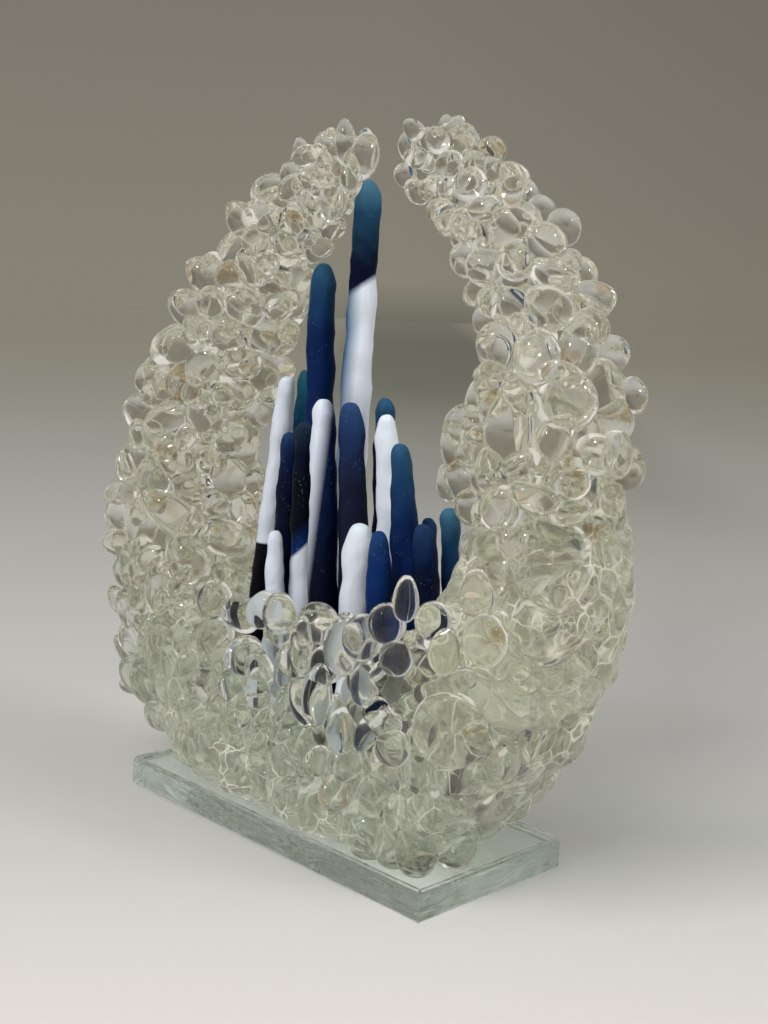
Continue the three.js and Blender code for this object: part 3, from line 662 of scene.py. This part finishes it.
def finger_finish(node):
    """The colours of one finger, as its name says."""
    glass = FingerGlass(node)
    if node == "finger_tallest_blue_white":
        low = 1 - glass.above(TALLEST_JOINT + TALLEST_SLANT * glass.across, 3)
        blue = glass.blend(low, glass.navy(NAVY_DARK, PALE_TIP, NAVY_DARK, 30, 0.95), PALE_TIP)
        edge = TALLEST_WHITE_EDGE - TALLEST_WHITE_TAPER * glass.height.away_from(TALLEST_WHITE_MIDDLE)
        white = low * glass.right_of(edge, 5.5)
        return glass.satin(glass.blend(white, blue, glass.opal()), 1 - white)
    if node == "finger_left_white":
        white = glass.above(LEFT_JOINT, 0.8)
        return glass.satin(glass.blend(white, BLACK_NAVY, glass.opal()), 1 - white)
    if node == "finger_white_blue":
        blue = glass.navy(NAVY_DARK, NAVY, BLACK_NAVY, 60)
        edge = WHITE_BLUE_EDGE - WHITE_BLUE_TAPER * (WHITE_BLUE_KNEE - glass.height).math("MAXIMUM", 0)
        white = 1 - glass.right_of(edge, 5)
        return glass.satin(glass.blend(white, blue, glass.opal()), 1 - white)
    if node == "finger_navy_white_foot":
        edge = WHITE_FOOT_JOINT + glass.across
        dark = glass.navy(BLACK_NAVY, NAVY_DARK, BLACK_NAVY, 30)
        dark = glass.blend(glass.above(edge + WHITE_FOOT_BLUE, 9), BLUE, dark)
        navy = glass.above(edge, 1.6)
        return glass.satin(glass.blend(navy, glass.opal(), dark), navy)
    if "white" in node:
        return glass.satin(glass.opal(), 0.0)
    if "teal" in node:
        return glass.satin(glass.navy(NAVY, TEAL_TIP, NAVY_DARK, 40), 0.6)
    if "centre" in node:
        return glass.satin(glass.navy(PURPLE_DARK, CENTRE_TIP, BLACK_NAVY, 30), 1.0)
    if "short_blue" in node:
        return glass.satin(glass.navy(NAVY, BLUE, NAVY_DARK, 34), 0.7)
    if "blue" in node:
        painted_sheen = 0.6 if "far" in node else SOFT_PAINTED_SHEEN
        return glass.satin(glass.navy(NAVY, NAVY_TIP, BLACK_NAVY, 26, painted_sheen), 0.7)
    if "short" in node or "left" in node:
        return glass.satin(glass.navy(NAVY_DARK, NAVY, BLACK_NAVY, 20), 1.0)
    return glass.satin(glass.navy(NAVY, NAVY_TIP, NAVY_DARK, 26), 1.0)


def start_piece(add_shape, **settings):
    """A new piece that starts from one of Blender's plain shapes."""
    bpy.ops.object.select_all(action="DESELECT")
    add_shape(**settings)
    bpy.ops.object.transform_apply()
    return bpy.context.active_object


def pick(piece, wanted):
    """Goes to edit mode with only the wanted vertices selected."""
    bpy.ops.object.mode_set(mode="EDIT")
    bpy.ops.mesh.select_mode(type="VERT")
    bpy.ops.mesh.select_all(action="DESELECT")
    bpy.ops.object.mode_set(mode="OBJECT")
    for vertex in piece.data.vertices:
        vertex.select = wanted(vertex.co)
    bpy.ops.object.mode_set(mode="EDIT")


def pick_all(piece):
    pick(piece, lambda place: True)


def face_outward():
    """Turns the faces of the piece in edit mode outwards, and leaves edit mode."""
    bpy.ops.mesh.select_all(action="SELECT")
    bpy.ops.mesh.normals_make_consistent(inside=False)
    bpy.ops.object.mode_set(mode="OBJECT")


def finish_with(piece, kind, **settings):
    """Adds a modifier to a piece and applies it."""
    modifier = piece.modifiers.new(kind.lower(), kind)
    for key, value in settings.items():
        setattr(modifier, key, value)
    bpy.ops.object.modifier_apply(modifier=modifier.name)


def cloud(name, size):
    texture = bpy.data.textures.new(name, "CLOUDS")
    texture.noise_scale = size
    texture.noise_depth = 1
    return texture


def cobbles(name, size):
    """A texture of round cells that meet in creases."""
    texture = bpy.data.textures.new(name, "VORONOI")
    texture.noise_scale = size
    texture.distance_metric = "DISTANCE_SQUARED"
    return texture


def waver(piece, name, shape):
    """Bends the skin of a piece in and out, by the size and the height of its waves."""
    size, height = shape
    finish_with(piece, "DISPLACE", texture=cloud(name, size * MM), strength=height * MM, mid_level=0.5)


def pebble_form(name, fineness, pulls, squeeze, lumps):
    """One pebble of radius 1: a ball pulled out or pushed in at some places, squeezed and made lumpy."""
    pebble = start_piece(bpy.ops.mesh.primitive_ico_sphere_add, subdivisions=fineness, radius=1)
    pebble.name = name
    for direction, distance, reach in pulls:
        toward = Vector(direction).normalized()
        pick(pebble, lambda place: place.normalized().dot(toward) > 0.95)
        bpy.ops.transform.translate(value=toward * distance, use_proportional_edit=True,
                                    proportional_edit_falloff="SMOOTH", proportional_size=reach)
    pick_all(pebble)
    bpy.ops.transform.resize(value=squeeze, center_override=(0, 0, 0))
    bpy.ops.object.mode_set(mode="OBJECT")
    finish_with(pebble, "DISPLACE", texture=cloud(name + "_lumps", 0.9), strength=lumps, mid_level=0.5)
    finish_with(pebble, "SMOOTH", factor=0.5, iterations=2)
    bpy.ops.object.shade_smooth()
    return pebble


def pebble_forms(fineness):
    """The handful of pebbles that all the others are copies of."""
    return [
        pebble_form("round", fineness, [], (1, 1, 0.95), 0.08),
        pebble_form("egg", fineness, [((0, 1, 0), 0.35, 1.2)], (0.86, 1, 0.9), 0.08),
        pebble_form("bean", fineness, [((1, 0, 0), -0.3, 0.9), ((0.4, 1, 0), 0.2, 0.8)],
                    (0.85, 1.1, 0.85), 0.08),
        pebble_form("button", fineness, [((0, 0, 1), -0.3, 1.0)], (1.08, 1.05, 0.9), 0.1),
        pebble_form("knob", fineness, [((0, 0, 1), 0.3, 0.8), ((1, 1, 0), -0.15, 0.8)], (0.95, 0.9, 1), 0.1),
        pebble_form("long", fineness, [((0, 1, 0), 0.2, 1.3), ((0, -1, 0.2), 0.2, 1.3)],
                    (0.85, 1, 0.85), 0.1),
    ]


def section_at(angle):
    """Middle radius, half width and half depth of the crescent at an angle."""
    after = next((n for n, section in enumerate(SECTIONS) if section[0] >= angle), len(SECTIONS) - 1)
    first, second = SECTIONS[max(after, 1) - 1], SECTIONS[max(after, 1)]
    share = (angle - first[0]) / (second[0] - first[0])
    swell, width, depth = (a + (b - a) * share for a, b in zip(first[1:], second[1:]))
    return CRESCENT_RADIUS + swell - width / 2, width / 2, depth / 2


def on_section(across, back, power):
    """A place in a section, moved to its round-cornered outline, and how far out it lay."""
    spread = (abs(across) ** power + abs(back) ** power) ** (1 / power)
    return across / spread, back / spread, spread


def melted_at(angle, across):
    """How far the crescent has melted smooth at an angle and a place across it, 0 to 1."""
    along_rim = 1 - ((angle - MELTED_ANGLE) / MELTED_REACH) ** 2
    return max(along_rim, 0.0) ** 0.5 * min(max((across - MELTED_FROM) / MELTED_GROWTH, 0.0), 1.0)


def askew(place):
    """Turns a place with the crescent."""
    return Matrix.Rotation(-CRESCENT_YAW, 3, "Z") @ place


def crescent_place(radius, angle, depth):
    turn = math.radians(angle)
    x = CRESCENT_OFFSET + radius * math.sin(turn)
    z = CENTRE_HEIGHT - radius * math.cos(turn)
    return askew(Vector((x, depth, z)))


def crescent_node(place):
    """The node that a place belongs to, by its angle round the crescent."""
    angle = math.degrees(math.atan2(place.x - CRESCENT_OFFSET, CENTRE_HEIGHT - place.z))
    if LEFT_SEAM < angle < RIGHT_SEAM:
        return "cradle"
    return "left_horn" if place.x < HORNS_PART else "right_horn"


class Pebble:
    """Where one pebble lies and which way it faces; sizes are half widths across, upwards and outwards."""

    def __init__(self, place, outward, half, spin):
        self.place = place
        self.outward = outward
        self.half = half
        self.spin = spin
        self.radius = sum(half) / 3

    def matrix(self):
        across = UP.cross(self.outward)
        if across.length < 0.05:
            across = Vector((1, 0, 0))
        across.normalize()
        upward = self.outward.cross(across).normalized()
        turn = Matrix((across, upward, self.outward)).transposed().to_4x4()
        size = Matrix.Diagonal((*[side * MM for side in self.half], 1))
        return Matrix.Translation(self.place * MM) @ turn @ Matrix.Rotation(self.spin, 4, "Z") @ size


def finger_axis(finger, rise):
    """The place on a finger's axis at a share of the way up it."""
    (foot_x, foot_y), (tip_x, tip_y), height = finger[:3]
    return Vector((foot_x + (tip_x - foot_x) * rise, foot_y + (tip_y - foot_y) * rise,
                   FINGER_FOOT + (PLATE_TOP + height - FINGER_FOOT) * rise))


class PebblePile:
    """Places pebbles one by one where there is room for them."""

    def __init__(self, seed):
        self.chance = Chance(seed)
        self.pebbles = []
        self.cells = {}

    @staticmethod
    def cell(place):
        return tuple(int(c // (2 * LARGEST_PEBBLE)) for c in place)

    def near(self, place):
        column, row, level = self.cell(place)
        for x in range(column - 1, column + 2):
            for y in range(row - 1, row + 2):
                for z in range(level - 1, level + 2):
                    yield from self.cells.get((x, y, z), ())

    def has_room(self, place, radius):
        return all((other - place).length > PEBBLE_CLOSENESS * (size + radius)
                   for other, size in self.near(place))

    def hold(self, place, radius):
        self.cells.setdefault(self.cell(place), []).append((place, radius))

    @staticmethod
    def clear_of_fingers(place, radius):
        if place.z < FINGER_FOOT - radius:
            return True
        for finger in FINGERS.values():
            height, diameter = finger[2:4]
            top = PLATE_TOP + height
            rise = min(max((place.z - FINGER_FOOT) / (top - FINGER_FOOT), 0.0), 1.0)
            gap = (place.xy - finger_axis(finger, rise).xy).length
            if gap < diameter / 2 + FINGER_ROOM * radius and place.z < top + radius:
                return False
        return True

    @staticmethod
    def hides_finger(place, radius):
        """Whether a pebble stands between the viewer and a finger, above the front pebbles."""
        sight = (place - CAMERA_PLACE).normalized()
        for finger in FINGERS.values():
            room = finger[3] / 2 + SIGHT_ROOM * radius
            for step in range(SIGHT_STEPS):
                axis = finger_axis(finger, step / (SIGHT_STEPS - 1))
                away = axis - place
                depth = away.dot(sight)
                if axis.z > FINGER_VIEW_HEIGHT and depth > 0 and (away - depth * sight).length < room:
                    return True
        return False

    def add(self, pebble):
        self.hold(pebble.place, pebble.radius)
        self.pebbles.append(pebble)

    def add_known(self, place, half, turn):
        """Lays a pebble that faces the viewer, turned by up to an angle either way."""
        self.add(Pebble(Vector(place), -CAMERA_AHEAD, half, self.chance.between(-turn, turn)))

    def drop(self, place, radius, outward):
        """Lays a pebble if there is room: those low in the cradle have run and stand upright."""
        place.z = max(place.z, PLATE_TOP + PLATE_ROOM * radius)
        if not self.has_room(place, radius) or not self.clear_of_fingers(place, radius):
            return
        if self.hides_finger(place, radius):
            return
        run = min(max((RUN_TOP - place.z) / RUN_GROWTH, 0.0), 1.0)
        stretch = self.chance.between(*PEBBLE_STRETCH) + RUN_STRETCH * run
        thick = radius * self.chance.between(*PEBBLE_THICKNESS)
        spin = self.chance.between(*PEBBLE_TURN) * (1 - RUN_STEADINESS * run)
        self.add(Pebble(place, outward, (radius / stretch ** 0.5, radius * stretch ** 0.5, thick), spin))

    def drop_on_crescent(self, radius):
        angle = self.chance.between(SECTIONS[0][0], SECTIONS[-1][0])
        middle, half_width, half_depth = section_at(angle)
        radius = min(radius, CRESCENT_LARGEST * min(half_width, half_depth))
        across = self.chance.between(-1, 1)
        back = self.chance.between(-1, 1)
        skin_across, skin_back, spread = on_section(across, back, SECTION_POWER)
        if self.chance.between(0, 1) < SKIN_SHARE or spread > 1:
            across, back = skin_across, skin_back
        proud = PEBBLE_PROUD + self.chance.between(*PROUD_SPREAD) - radius
        proud -= MELTED_SINK * melted_at(angle, across)
        place = crescent_place(middle + across * (half_width + proud), angle, back * (half_depth + proud))
        core = crescent_place(middle, angle, 0)
        self.drop(place, radius, (place - core).normalized())

    def drop_on_wall(self, radius):
        share = self.chance.between(0, 1)
        side = self.chance.one_of((-1, 1))
        x = WALL_LEFT + (WALL_RIGHT - WALL_LEFT) * share
        top = PLATE_TOP + WALL_HEIGHT_LEFT + (WALL_HEIGHT_RIGHT - WALL_HEIGHT_LEFT) * share
        z = self.chance.between(POCKET_FLOOR, top - WALL_SINK * radius)
        y = side * (WALL_OFFSET + self.chance.between(-WALL_SPREAD, WALL_SPREAD))
        self.drop(askew(Vector((x, y, z))), radius, askew(Vector((0, side, 0))))

    def drop_loose(self):
        """Takes away the pebbles that don't touch the rest, directly or through others."""
        lowest = min(self.pebbles, key=lambda pebble: pebble.place.z)
        fused = {lowest}
        waiting = [lowest]
        while waiting:
            here = waiting.pop()
            for other in self.pebbles:
                if other not in fused and (other.place - here.place).length < other.radius + here.radius:
                    fused.add(other)
                    waiting.append(other)
        self.pebbles = [pebble for pebble in self.pebbles if pebble in fused]

    def melt_foot(self):
        """Sinks the pebbles of the near foot into the glass round them."""
        for pebble in self.pebbles[len(EDGE_PEBBLES):KNOWN_PEBBLES]:
            pebble.half = tuple(side * FOOT_MELTED for side in pebble.half)
            pebble.place.z += FOOT_LIFT


def joined(name, meshes):
    """One object of many meshes."""
    bpy.ops.object.select_all(action="DESELECT")
    for mesh in meshes:
        part = bpy.data.objects.new(name, mesh)
        bpy.context.collection.objects.link(part)
        part.select_set(True)
        bpy.context.view_layer.objects.active = part
    if len(meshes) > 1:
        bpy.ops.object.join()
    return bpy.context.active_object


def dress(piece, node, material):
    """Puts a finished piece in its node's place."""
    piece.name = node + "_glass"
    piece.data.materials.clear()
    piece.data.materials.append(material)
    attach(piece, "root")
    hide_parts(node)


def core_place(across, back, angle, first, last):
    """Where a point of a core lies: across and back are on a circle of radius 1, and the ends are rounded."""
    beyond_foot = max(abs(angle - FOOT_ANGLE) - FOOT_REACH, 0) / FOOT_FADE
    on_foot = max(1 - beyond_foot, 0) if across > 0 else 0
    across, back, _ = on_section(across, back, SECTION_POWER + (FOOT_POWER - SECTION_POWER) * on_foot)
    middle, half_width, half_depth = section_at(angle)
    up_horn = max(angle - RIGHT_SEAM, 0) / (CORE_END_ANGLE - RIGHT_SEAM)
    melted = melted_at(angle, across)
    inset = CORE_INSET * (1 + CORE_THINNING * up_horn) * (1 - max(melted, on_foot))
    inset = min(inset, CORE_DEEPEST * half_width)
    inset -= CORE_SWELL * melted + FOOT_SWELL * on_foot
    to_end = min((angle - first) / CORE_ROUNDING, (last - angle) / CORE_ROUNDING, 1)
    narrowing = max(1 - (1 - to_end) ** 2, CORE_TIP) ** 0.5
    across, back = across * narrowing, back * narrowing
    place = crescent_place(middle + across * (half_width - inset), angle, back * (half_depth - inset))
    place.z = max(place.z, PLATE_TOP + CORE_CLEARANCE)
    return place


def crescent_core(name, first, last):
    """The glass that has run together between the pebbles, from one angle to another."""
    core = start_piece(bpy.ops.mesh.primitive_circle_add, vertices=CORE_SIDES, radius=1,
                       fill_type="NGON", location=(0, 0, first))
    pick_all(core)
    steps = max(2, round((last - first) / CORE_STEP))
    for _ in range(steps):
        bpy.ops.mesh.extrude_region_move(TRANSFORM_OT_translate={"value": (0, 0, (last - first) / steps)})
    face_outward()
    for vertex in core.data.vertices:
        vertex.co = core_place(*vertex.co, first, last) * MM
    finish_with(core, "SUBSURF", subdivision_type="SIMPLE", levels=1, render_levels=1)
    finish_with(core, "DISPLACE", texture=cloud(name + "_runs", WAVE_SIZE * MM),
                strength=WAVE_HEIGHT * MM, mid_level=WAVE_LEVEL)
    finish_with(core, "DISPLACE", texture=cobbles(name + "_cobbles", COBBLE_SIZE * MM),
                strength=-COBBLE_DEPTH * MM, mid_level=COBBLE_LEVEL)
    finish_with(core, "SMOOTH", factor=0.5, iterations=1)
    bpy.ops.object.shade_smooth()
    return core


def laid_pile():
    """The pebbles of the crescent: those with known places, then the rest wherever there is room for them."""
    pile = PebblePile(PEBBLE_SEED)
    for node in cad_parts:
        if node.startswith("front_"):
            low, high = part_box(node)
            pile.hold((low + high) / 2 / MM, min(high - low) / 2 / MM)
    for along, height, half_width, half_height in EDGE_PEBBLES:
        pile.add_known((along, 0, height), (half_width, half_height, half_width), KNOWN_TURN)
    for *place, radius in FOOT_PEBBLES:
        pile.add_known(place, [side * radius for side in FOOT_SHAPE], KNOWN_TURN)
    for smallest, largest, tries in PEBBLE_PASSES:
        for attempt in range(tries):
            radius = pile.chance.between(smallest, largest)
            if attempt % WALL_EVERY == 0:
                pile.drop_on_wall(min(radius, WALL_LARGEST))
            else:
                pile.drop_on_crescent(radius)
    pile.drop_loose()
    pile.melt_foot()
    for *place, radius in INNER_PEBBLES:
        pile.add_known(place, [side * radius for side in INNER_SHAPE], INNER_TURN)
    return pile


def fused_pebbles(forms, material, core_material):
    """The crescent: hundreds of pebbles, gathered into its two horns and its cradle, round a core."""
    pile = laid_pile()
    meshes = {"left_horn": [], "right_horn": [], "cradle": []}
    for number, pebble in enumerate(pile.pebbles):
        mesh = pile.chance.one_of(forms[:KNOWN_FORMS] if number < KNOWN_PEBBLES else forms).data.copy()
        mesh.transform(pebble.matrix())
        meshes[crescent_node(pebble.place)].append(mesh)
    for node, pebbles in meshes.items():
        dress(joined(node, pebbles), node, material)
    spans = {
        "cradle": (LEFT_SEAM, RIGHT_SEAM + CORE_OVERLAP),
        "right_horn": (RIGHT_SEAM - CORE_OVERLAP, CORE_END_ANGLE),
    }
    for node, (first, last) in spans.items():
        core = crescent_core(node, first, last)
        dress(core, node, core_material)
        core.name = node + "_core"


def front_pebbles(forms, material, horn_material):
    """The pebbles laid one by one on the front; those towards the right horn are of its own glass."""
    chance = Chance(PEBBLE_SEED)
    for node in sorted(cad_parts):
        if node.startswith("front_nugget"):
            low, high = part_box(node)
            form = chance.one_of(forms[:FRONT_FORMS])
            outward = Vector((0, -1, 0))
            if "disc" in node:
                form = forms[0]
                outward = DISC_FACING.normalized()
            mesh = form.data.copy()
            half = (high - low) / 2 / MM
            pebble = Pebble((low + high) / 2 / MM, outward, (half.x, half.z, half.y), 0)
            mesh.transform(pebble.matrix())
            on_horn = pebble.place.x > HORN_FRONT_FROM
            dress(joined(node, [mesh]), node, horn_material if on_horn else material)


def front_rod(node, material):
    """A length of rod with ground ends."""
    length, diameter, tilt = FRONT_RODS[node]
    low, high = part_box(node)
    rod = start_piece(bpy.ops.mesh.primitive_cylinder_add, vertices=ROD_SIDES, radius=diameter / 2 * MM,
                      depth=length * MM)
    pick_all(rod)
    bpy.ops.mesh.select_all(action="DESELECT")
    bpy.ops.mesh.select_face_by_sides(number=4, type="GREATER")
    bpy.ops.mesh.bevel(offset=ROD_ROUNDING * diameter * MM, segments=5, affect="EDGES")
    bpy.ops.object.mode_set(mode="OBJECT")
    finish_with(rod, "REMESH", mode="VOXEL", voxel_size=ROD_FINENESS * diameter * MM, use_smooth_shade=True)
    finish_with(rod, "SMOOTH", factor=0.5, iterations=4)
    waver(rod, node + "_waver", ROD_WAVER)
    way = Matrix.Translation((low + high) / 2) @ Matrix.Rotation(-CRESCENT_YAW, 4, "Z")
    rod.data.transform(way @ Matrix.Rotation(math.radians(90 - tilt), 4, "Y"))
    bpy.ops.object.shade_smooth()
    dress(rod, node, material)


def model_finger(node):
    """A tapered bar, drawn up ring by ring to a round tip."""
    foot, tip, height, diameter, taper = FINGERS[node]
    low = Vector((*foot, FINGER_FOOT))
    top = Vector((*tip, PLATE_TOP + height))
    shaft = 1 - taper * diameter / (top - low).length
    rings = []
    for step in range(1, FINGER_RINGS):
        rise = step / FINGER_RINGS
        rings.append((rise * shaft, 1 - (1 - taper) * max(rise - FINGER_STRAIGHT, 0) / (1 - FINGER_STRAIGHT)))
    rings += [(shaft + share * (1 - shaft), taper * width) for share, width in TIP_RINGS]
    finger = start_piece(bpy.ops.mesh.primitive_circle_add, vertices=FINGER_SIDES, fill_type="NGON",
                         radius=FINGER_ROUNDING * diameter / 2 * MM, location=low * MM)
    pick_all(finger)
    here, size = low, 1.0
    for share, width in rings:
        there = low.lerp(top, share)
        bpy.ops.mesh.extrude_region_move(TRANSFORM_OT_translate={"value": (there - here) * MM})
        bpy.ops.transform.resize(value=(width / size, width / size, 1), center_override=there * MM)
        here, size = there, width
    face_outward()
    finish_with(finger, "SUBSURF", levels=2, render_levels=2)
    waver(finger, node + "_waver", FINGER_WAVER)
    waver(finger, node + "_dents", FINGER_DENTS)
    bpy.ops.object.shade_smooth()
    return finger


def base_plate(material):
    """A plate of float glass with ground arrises."""
    plate = start_piece(bpy.ops.mesh.primitive_cube_add, size=1)
    pick_all(plate)
    size = Vector((PLATE_LENGTH, PLATE_DEPTH, PLATE_THICKNESS)) * MM
    bpy.ops.transform.resize(value=size, center_override=(0, 0, 0))
    bpy.ops.transform.translate(value=(0, 0, size.z / 2))
    bpy.ops.object.mode_set(mode="OBJECT")
    finish_with(plate, "BEVEL", width=PLATE_ARRIS * MM, segments=1, limit_method="ANGLE")
    dress(plate, "base_plate", material)


def pale_paper():
    """Paper with painted light and shade: lightest in front, with painted soft shade and shadows behind the
    sculpture, to its right and far off.
    """
    paper = Finish(bpy.data.materials.new("pale_paper"))
    reach = paper.node("ShaderNodeVectorMath", {"operation": "LENGTH"}, "Value", {0: paper.place()})
    beside = paper.along(FRONT_RIGHT, ORIGIN)
    ahead = paper.along(TO_FRONT, ORIGIN)
    behind = -1 * ahead
    beyond = behind.rising(*BEHIND_SPAN)
    # Painted light: tones that fall off from the middle out, lightest in front
    tone = paper.ramp(FLOOR_PAINTED_TONES, reach / FLOOR_RADIUS)
    tone = paper.blend(ahead.rising(*FLOOR_PAINTED_NEAR_LIGHT_SPAN), tone, FLOOR_PAINTED_NEAR_LIGHT)
    # Painted shade to the right, and a painted shadow where the sculpture's shadow would lie
    to_right = beside.rising(*SIDE_SPAN) * reach.falling(*SIDE_END) * beyond
    tone = paper.blend(SIDE_STRENGTH * to_right, tone, FLOOR_PAINTED_SHADE)
    shadow_line = SHADOW_MIDDLE + SHADOW_SLANT * behind
    shadow = beside.away_from(shadow_line).falling(*SHADOW_END) * reach.falling(*SHADOW_FAR_END) * beyond
    tone = paper.blend(SHADOW_STRENGTH * shadow, tone, FLOOR_PAINTED_SHADE)
    # Painted shade far off to the right
    far_right = (beside * MM / reach).clamped() * reach.rising(*FAR_SPAN)
    tone = paper.blend(FAR_STRENGTH * far_right, tone, FAR_PAINTED_SHADE)
    # Painted shadow stripe behind the sculpture
    painted_shadow_stripe = sum(strength * behind.rising(*span) for strength, span in SHADOW_STRIPE_STEPS)
    loss, loss_span = SHADOW_STRIPE_LOSS
    painted_shadow_stripe = painted_shadow_stripe * (1 - loss * behind.rising(*loss_span))
    painted_shadow_stripe = painted_shadow_stripe * beside.away_from(SHADOW_STRIPE_MIDDLE).falling(*SHADOW_STRIPE_END)
    tone = paper.blend(painted_shadow_stripe, tone, PAINTED_SHADOW_TONE)
    return paper.output(paper.node("ShaderNodeBsdfPrincipled", {}, 0, {
        "Base Color": tone,
        "Roughness": 0.6,
        "Specular IOR Level": 0.2,
    }))


def make_floor():
    """A round sheet of paper just under the plate."""
    floor = start_piece(bpy.ops.mesh.primitive_circle_add, vertices=FLOOR_SIDES, radius=FLOOR_RADIUS,
                        fill_type="NGON")
    floor.name = "floor"
    pick_all(floor)
    bpy.ops.transform.translate(value=(0, 0, -FLOOR_DROP * MM))
    bpy.ops.object.mode_set(mode="OBJECT")
    floor.data.materials.append(pale_paper())


def make_world():
    """A pale room, darker in front, with a backdrop that darkens to the right and a painted shadow patch
    behind the sculpture; dull surfaces see less.
    """
    world = bpy.data.worlds.new("studio")
    bpy.context.scene.world = world
    studio = Finish(world)
    direction = studio.node("ShaderNodeTexCoord", {}, "Generated", {})
    height = studio.node("ShaderNodeSeparateXYZ", {}, "Z", {0: direction})
    ahead = studio.toward(BACKDROP_WAY, direction)
    to_right = studio.toward(FRONT_RIGHT, direction)
    camera_ray = studio.node("ShaderNodeLightPath", {}, "Is Camera Ray", {})
    glossy_ray = studio.node("ShaderNodeLightPath", {}, "Is Glossy Ray", {})
    clear_ray = studio.node("ShaderNodeLightPath", {}, "Is Transmission Ray", {})
    seen = (camera_ray + glossy_ray + clear_ray).clamped()
    backdrop = studio.ramp(BACKDROP_TONES, height.clamped())
    backdrop = studio.blend(BACKDROP_RIGHT_SHADE * to_right.clamped(), backdrop, BLACK)
    # Painted shadow patch on the backdrop behind the sculpture
    patch = to_right.away_from(PATCH_MIDDLE).falling(*PATCH_END) * height.falling(*PATCH_TOP)
    backdrop = studio.blend(PATCH_STRENGTH * patch, backdrop, PAINTED_SHADOW_TONE)
    room = studio.ramp(ROOM_TONES, height.clamped())
    in_front = (-1 * ahead).rising(*ROOM_DARK_SPAN)
    room = studio.blend(ROOM_DARK_STRENGTH * seen * in_front, room, ROOM_DARK)
    sky = studio.blend(ahead.rising(*BACKDROP_SPAN), room, backdrop)
    strength = ROOM_LIGHT + (1 - ROOM_LIGHT) * seen
    shader = studio.node("ShaderNodeBackground", {}, 0, {"Color": sky, "Strength": strength})
    studio.output(shader, "ShaderNodeOutputWorld")


def make_lamp(name, place, size, watts):
    """A round soft lamp that shines on the sculpture."""
    lamp = bpy.data.lights.new(name, "AREA")
    lamp.shape = "DISK"
    lamp.size = size
    lamp.energy = watts
    holder = bpy.data.objects.new(name, lamp)
    holder.location = place
    holder.rotation_euler = (LAMP_TARGET - Vector(place)).to_track_quat("-Z", "Y").to_euler()
    holder.visible_glossy = size < GLINT_SIZE
    holder.visible_transmission = size < GLINT_SIZE
    bpy.context.collection.objects.link(holder)


def make_camera():
    """The camera of the photograph."""
    data = bpy.data.cameras.new("camera")
    data.sensor_width = SENSOR_WIDTH
    data.lens = CAMERA_LENS
    camera = bpy.data.objects.new("camera", data)
    axes = Matrix((CAMERA_RIGHT, -CAMERA_DOWN, -CAMERA_AHEAD)).transposed()
    camera.matrix_world = Matrix.Translation(CAMERA_PLACE * MM) @ axes.to_4x4()
    bpy.context.collection.objects.link(camera)
    bpy.context.scene.camera = camera


make_camera()
make_world()
make_floor()
for lamp_name, (lamp_place, lamp_size, lamp_watts) in LAMPS.items():
    make_lamp(lamp_name, lamp_place, lamp_size, lamp_watts)

scene = bpy.context.scene
scene.view_settings.view_transform = "Standard"
scene.cycles.max_bounces = LIGHT_BOUNCES
scene.cycles.glossy_bounces = LIGHT_BOUNCES
scene.cycles.transmission_bounces = LIGHT_BOUNCES
scene.cycles.transparent_max_bounces = LIGHT_BOUNCES

nugget_glass = clear_glass("nugget_glass", bend=1.45, tints=WARM_TINTS, ripple=0.25, rim=0.55)
core_glass = clear_glass("core_glass", bend=1.35, tints=CORE_TINTS, ripple=0.6, rim=0.45,
                         haze=0.12, haze_top=140, veins=0.65)
front_glass = clear_glass("front_glass", bend=1.37, tints=FRONT_TINTS, ripple=0.2, rim=0.04)
horn_glass = clear_glass("horn_glass", bend=1.2, tints=WARM_TINTS, ripple=0.6, rim=0.4, haze=0.02)
rod_glass = clear_glass("rod_glass", bend=1.14, tints=ROD_TINTS, ripple=0.5, rim=0.3)
coarse = pebble_forms(PEBBLE_FINENESS)
fine = pebble_forms(PEBBLE_FINENESS + 1)
fused_pebbles(coarse, nugget_glass, core_glass)
front_pebbles(fine, front_glass, horn_glass)
for rod_node in FRONT_RODS:
    front_rod(rod_node, rod_glass)
for form in coarse + fine:
    bpy.data.objects.remove(form)
for finger_node in FINGERS:
    dress(model_finger(finger_node), finger_node, finger_finish(finger_node))
base_plate(plate_glass())
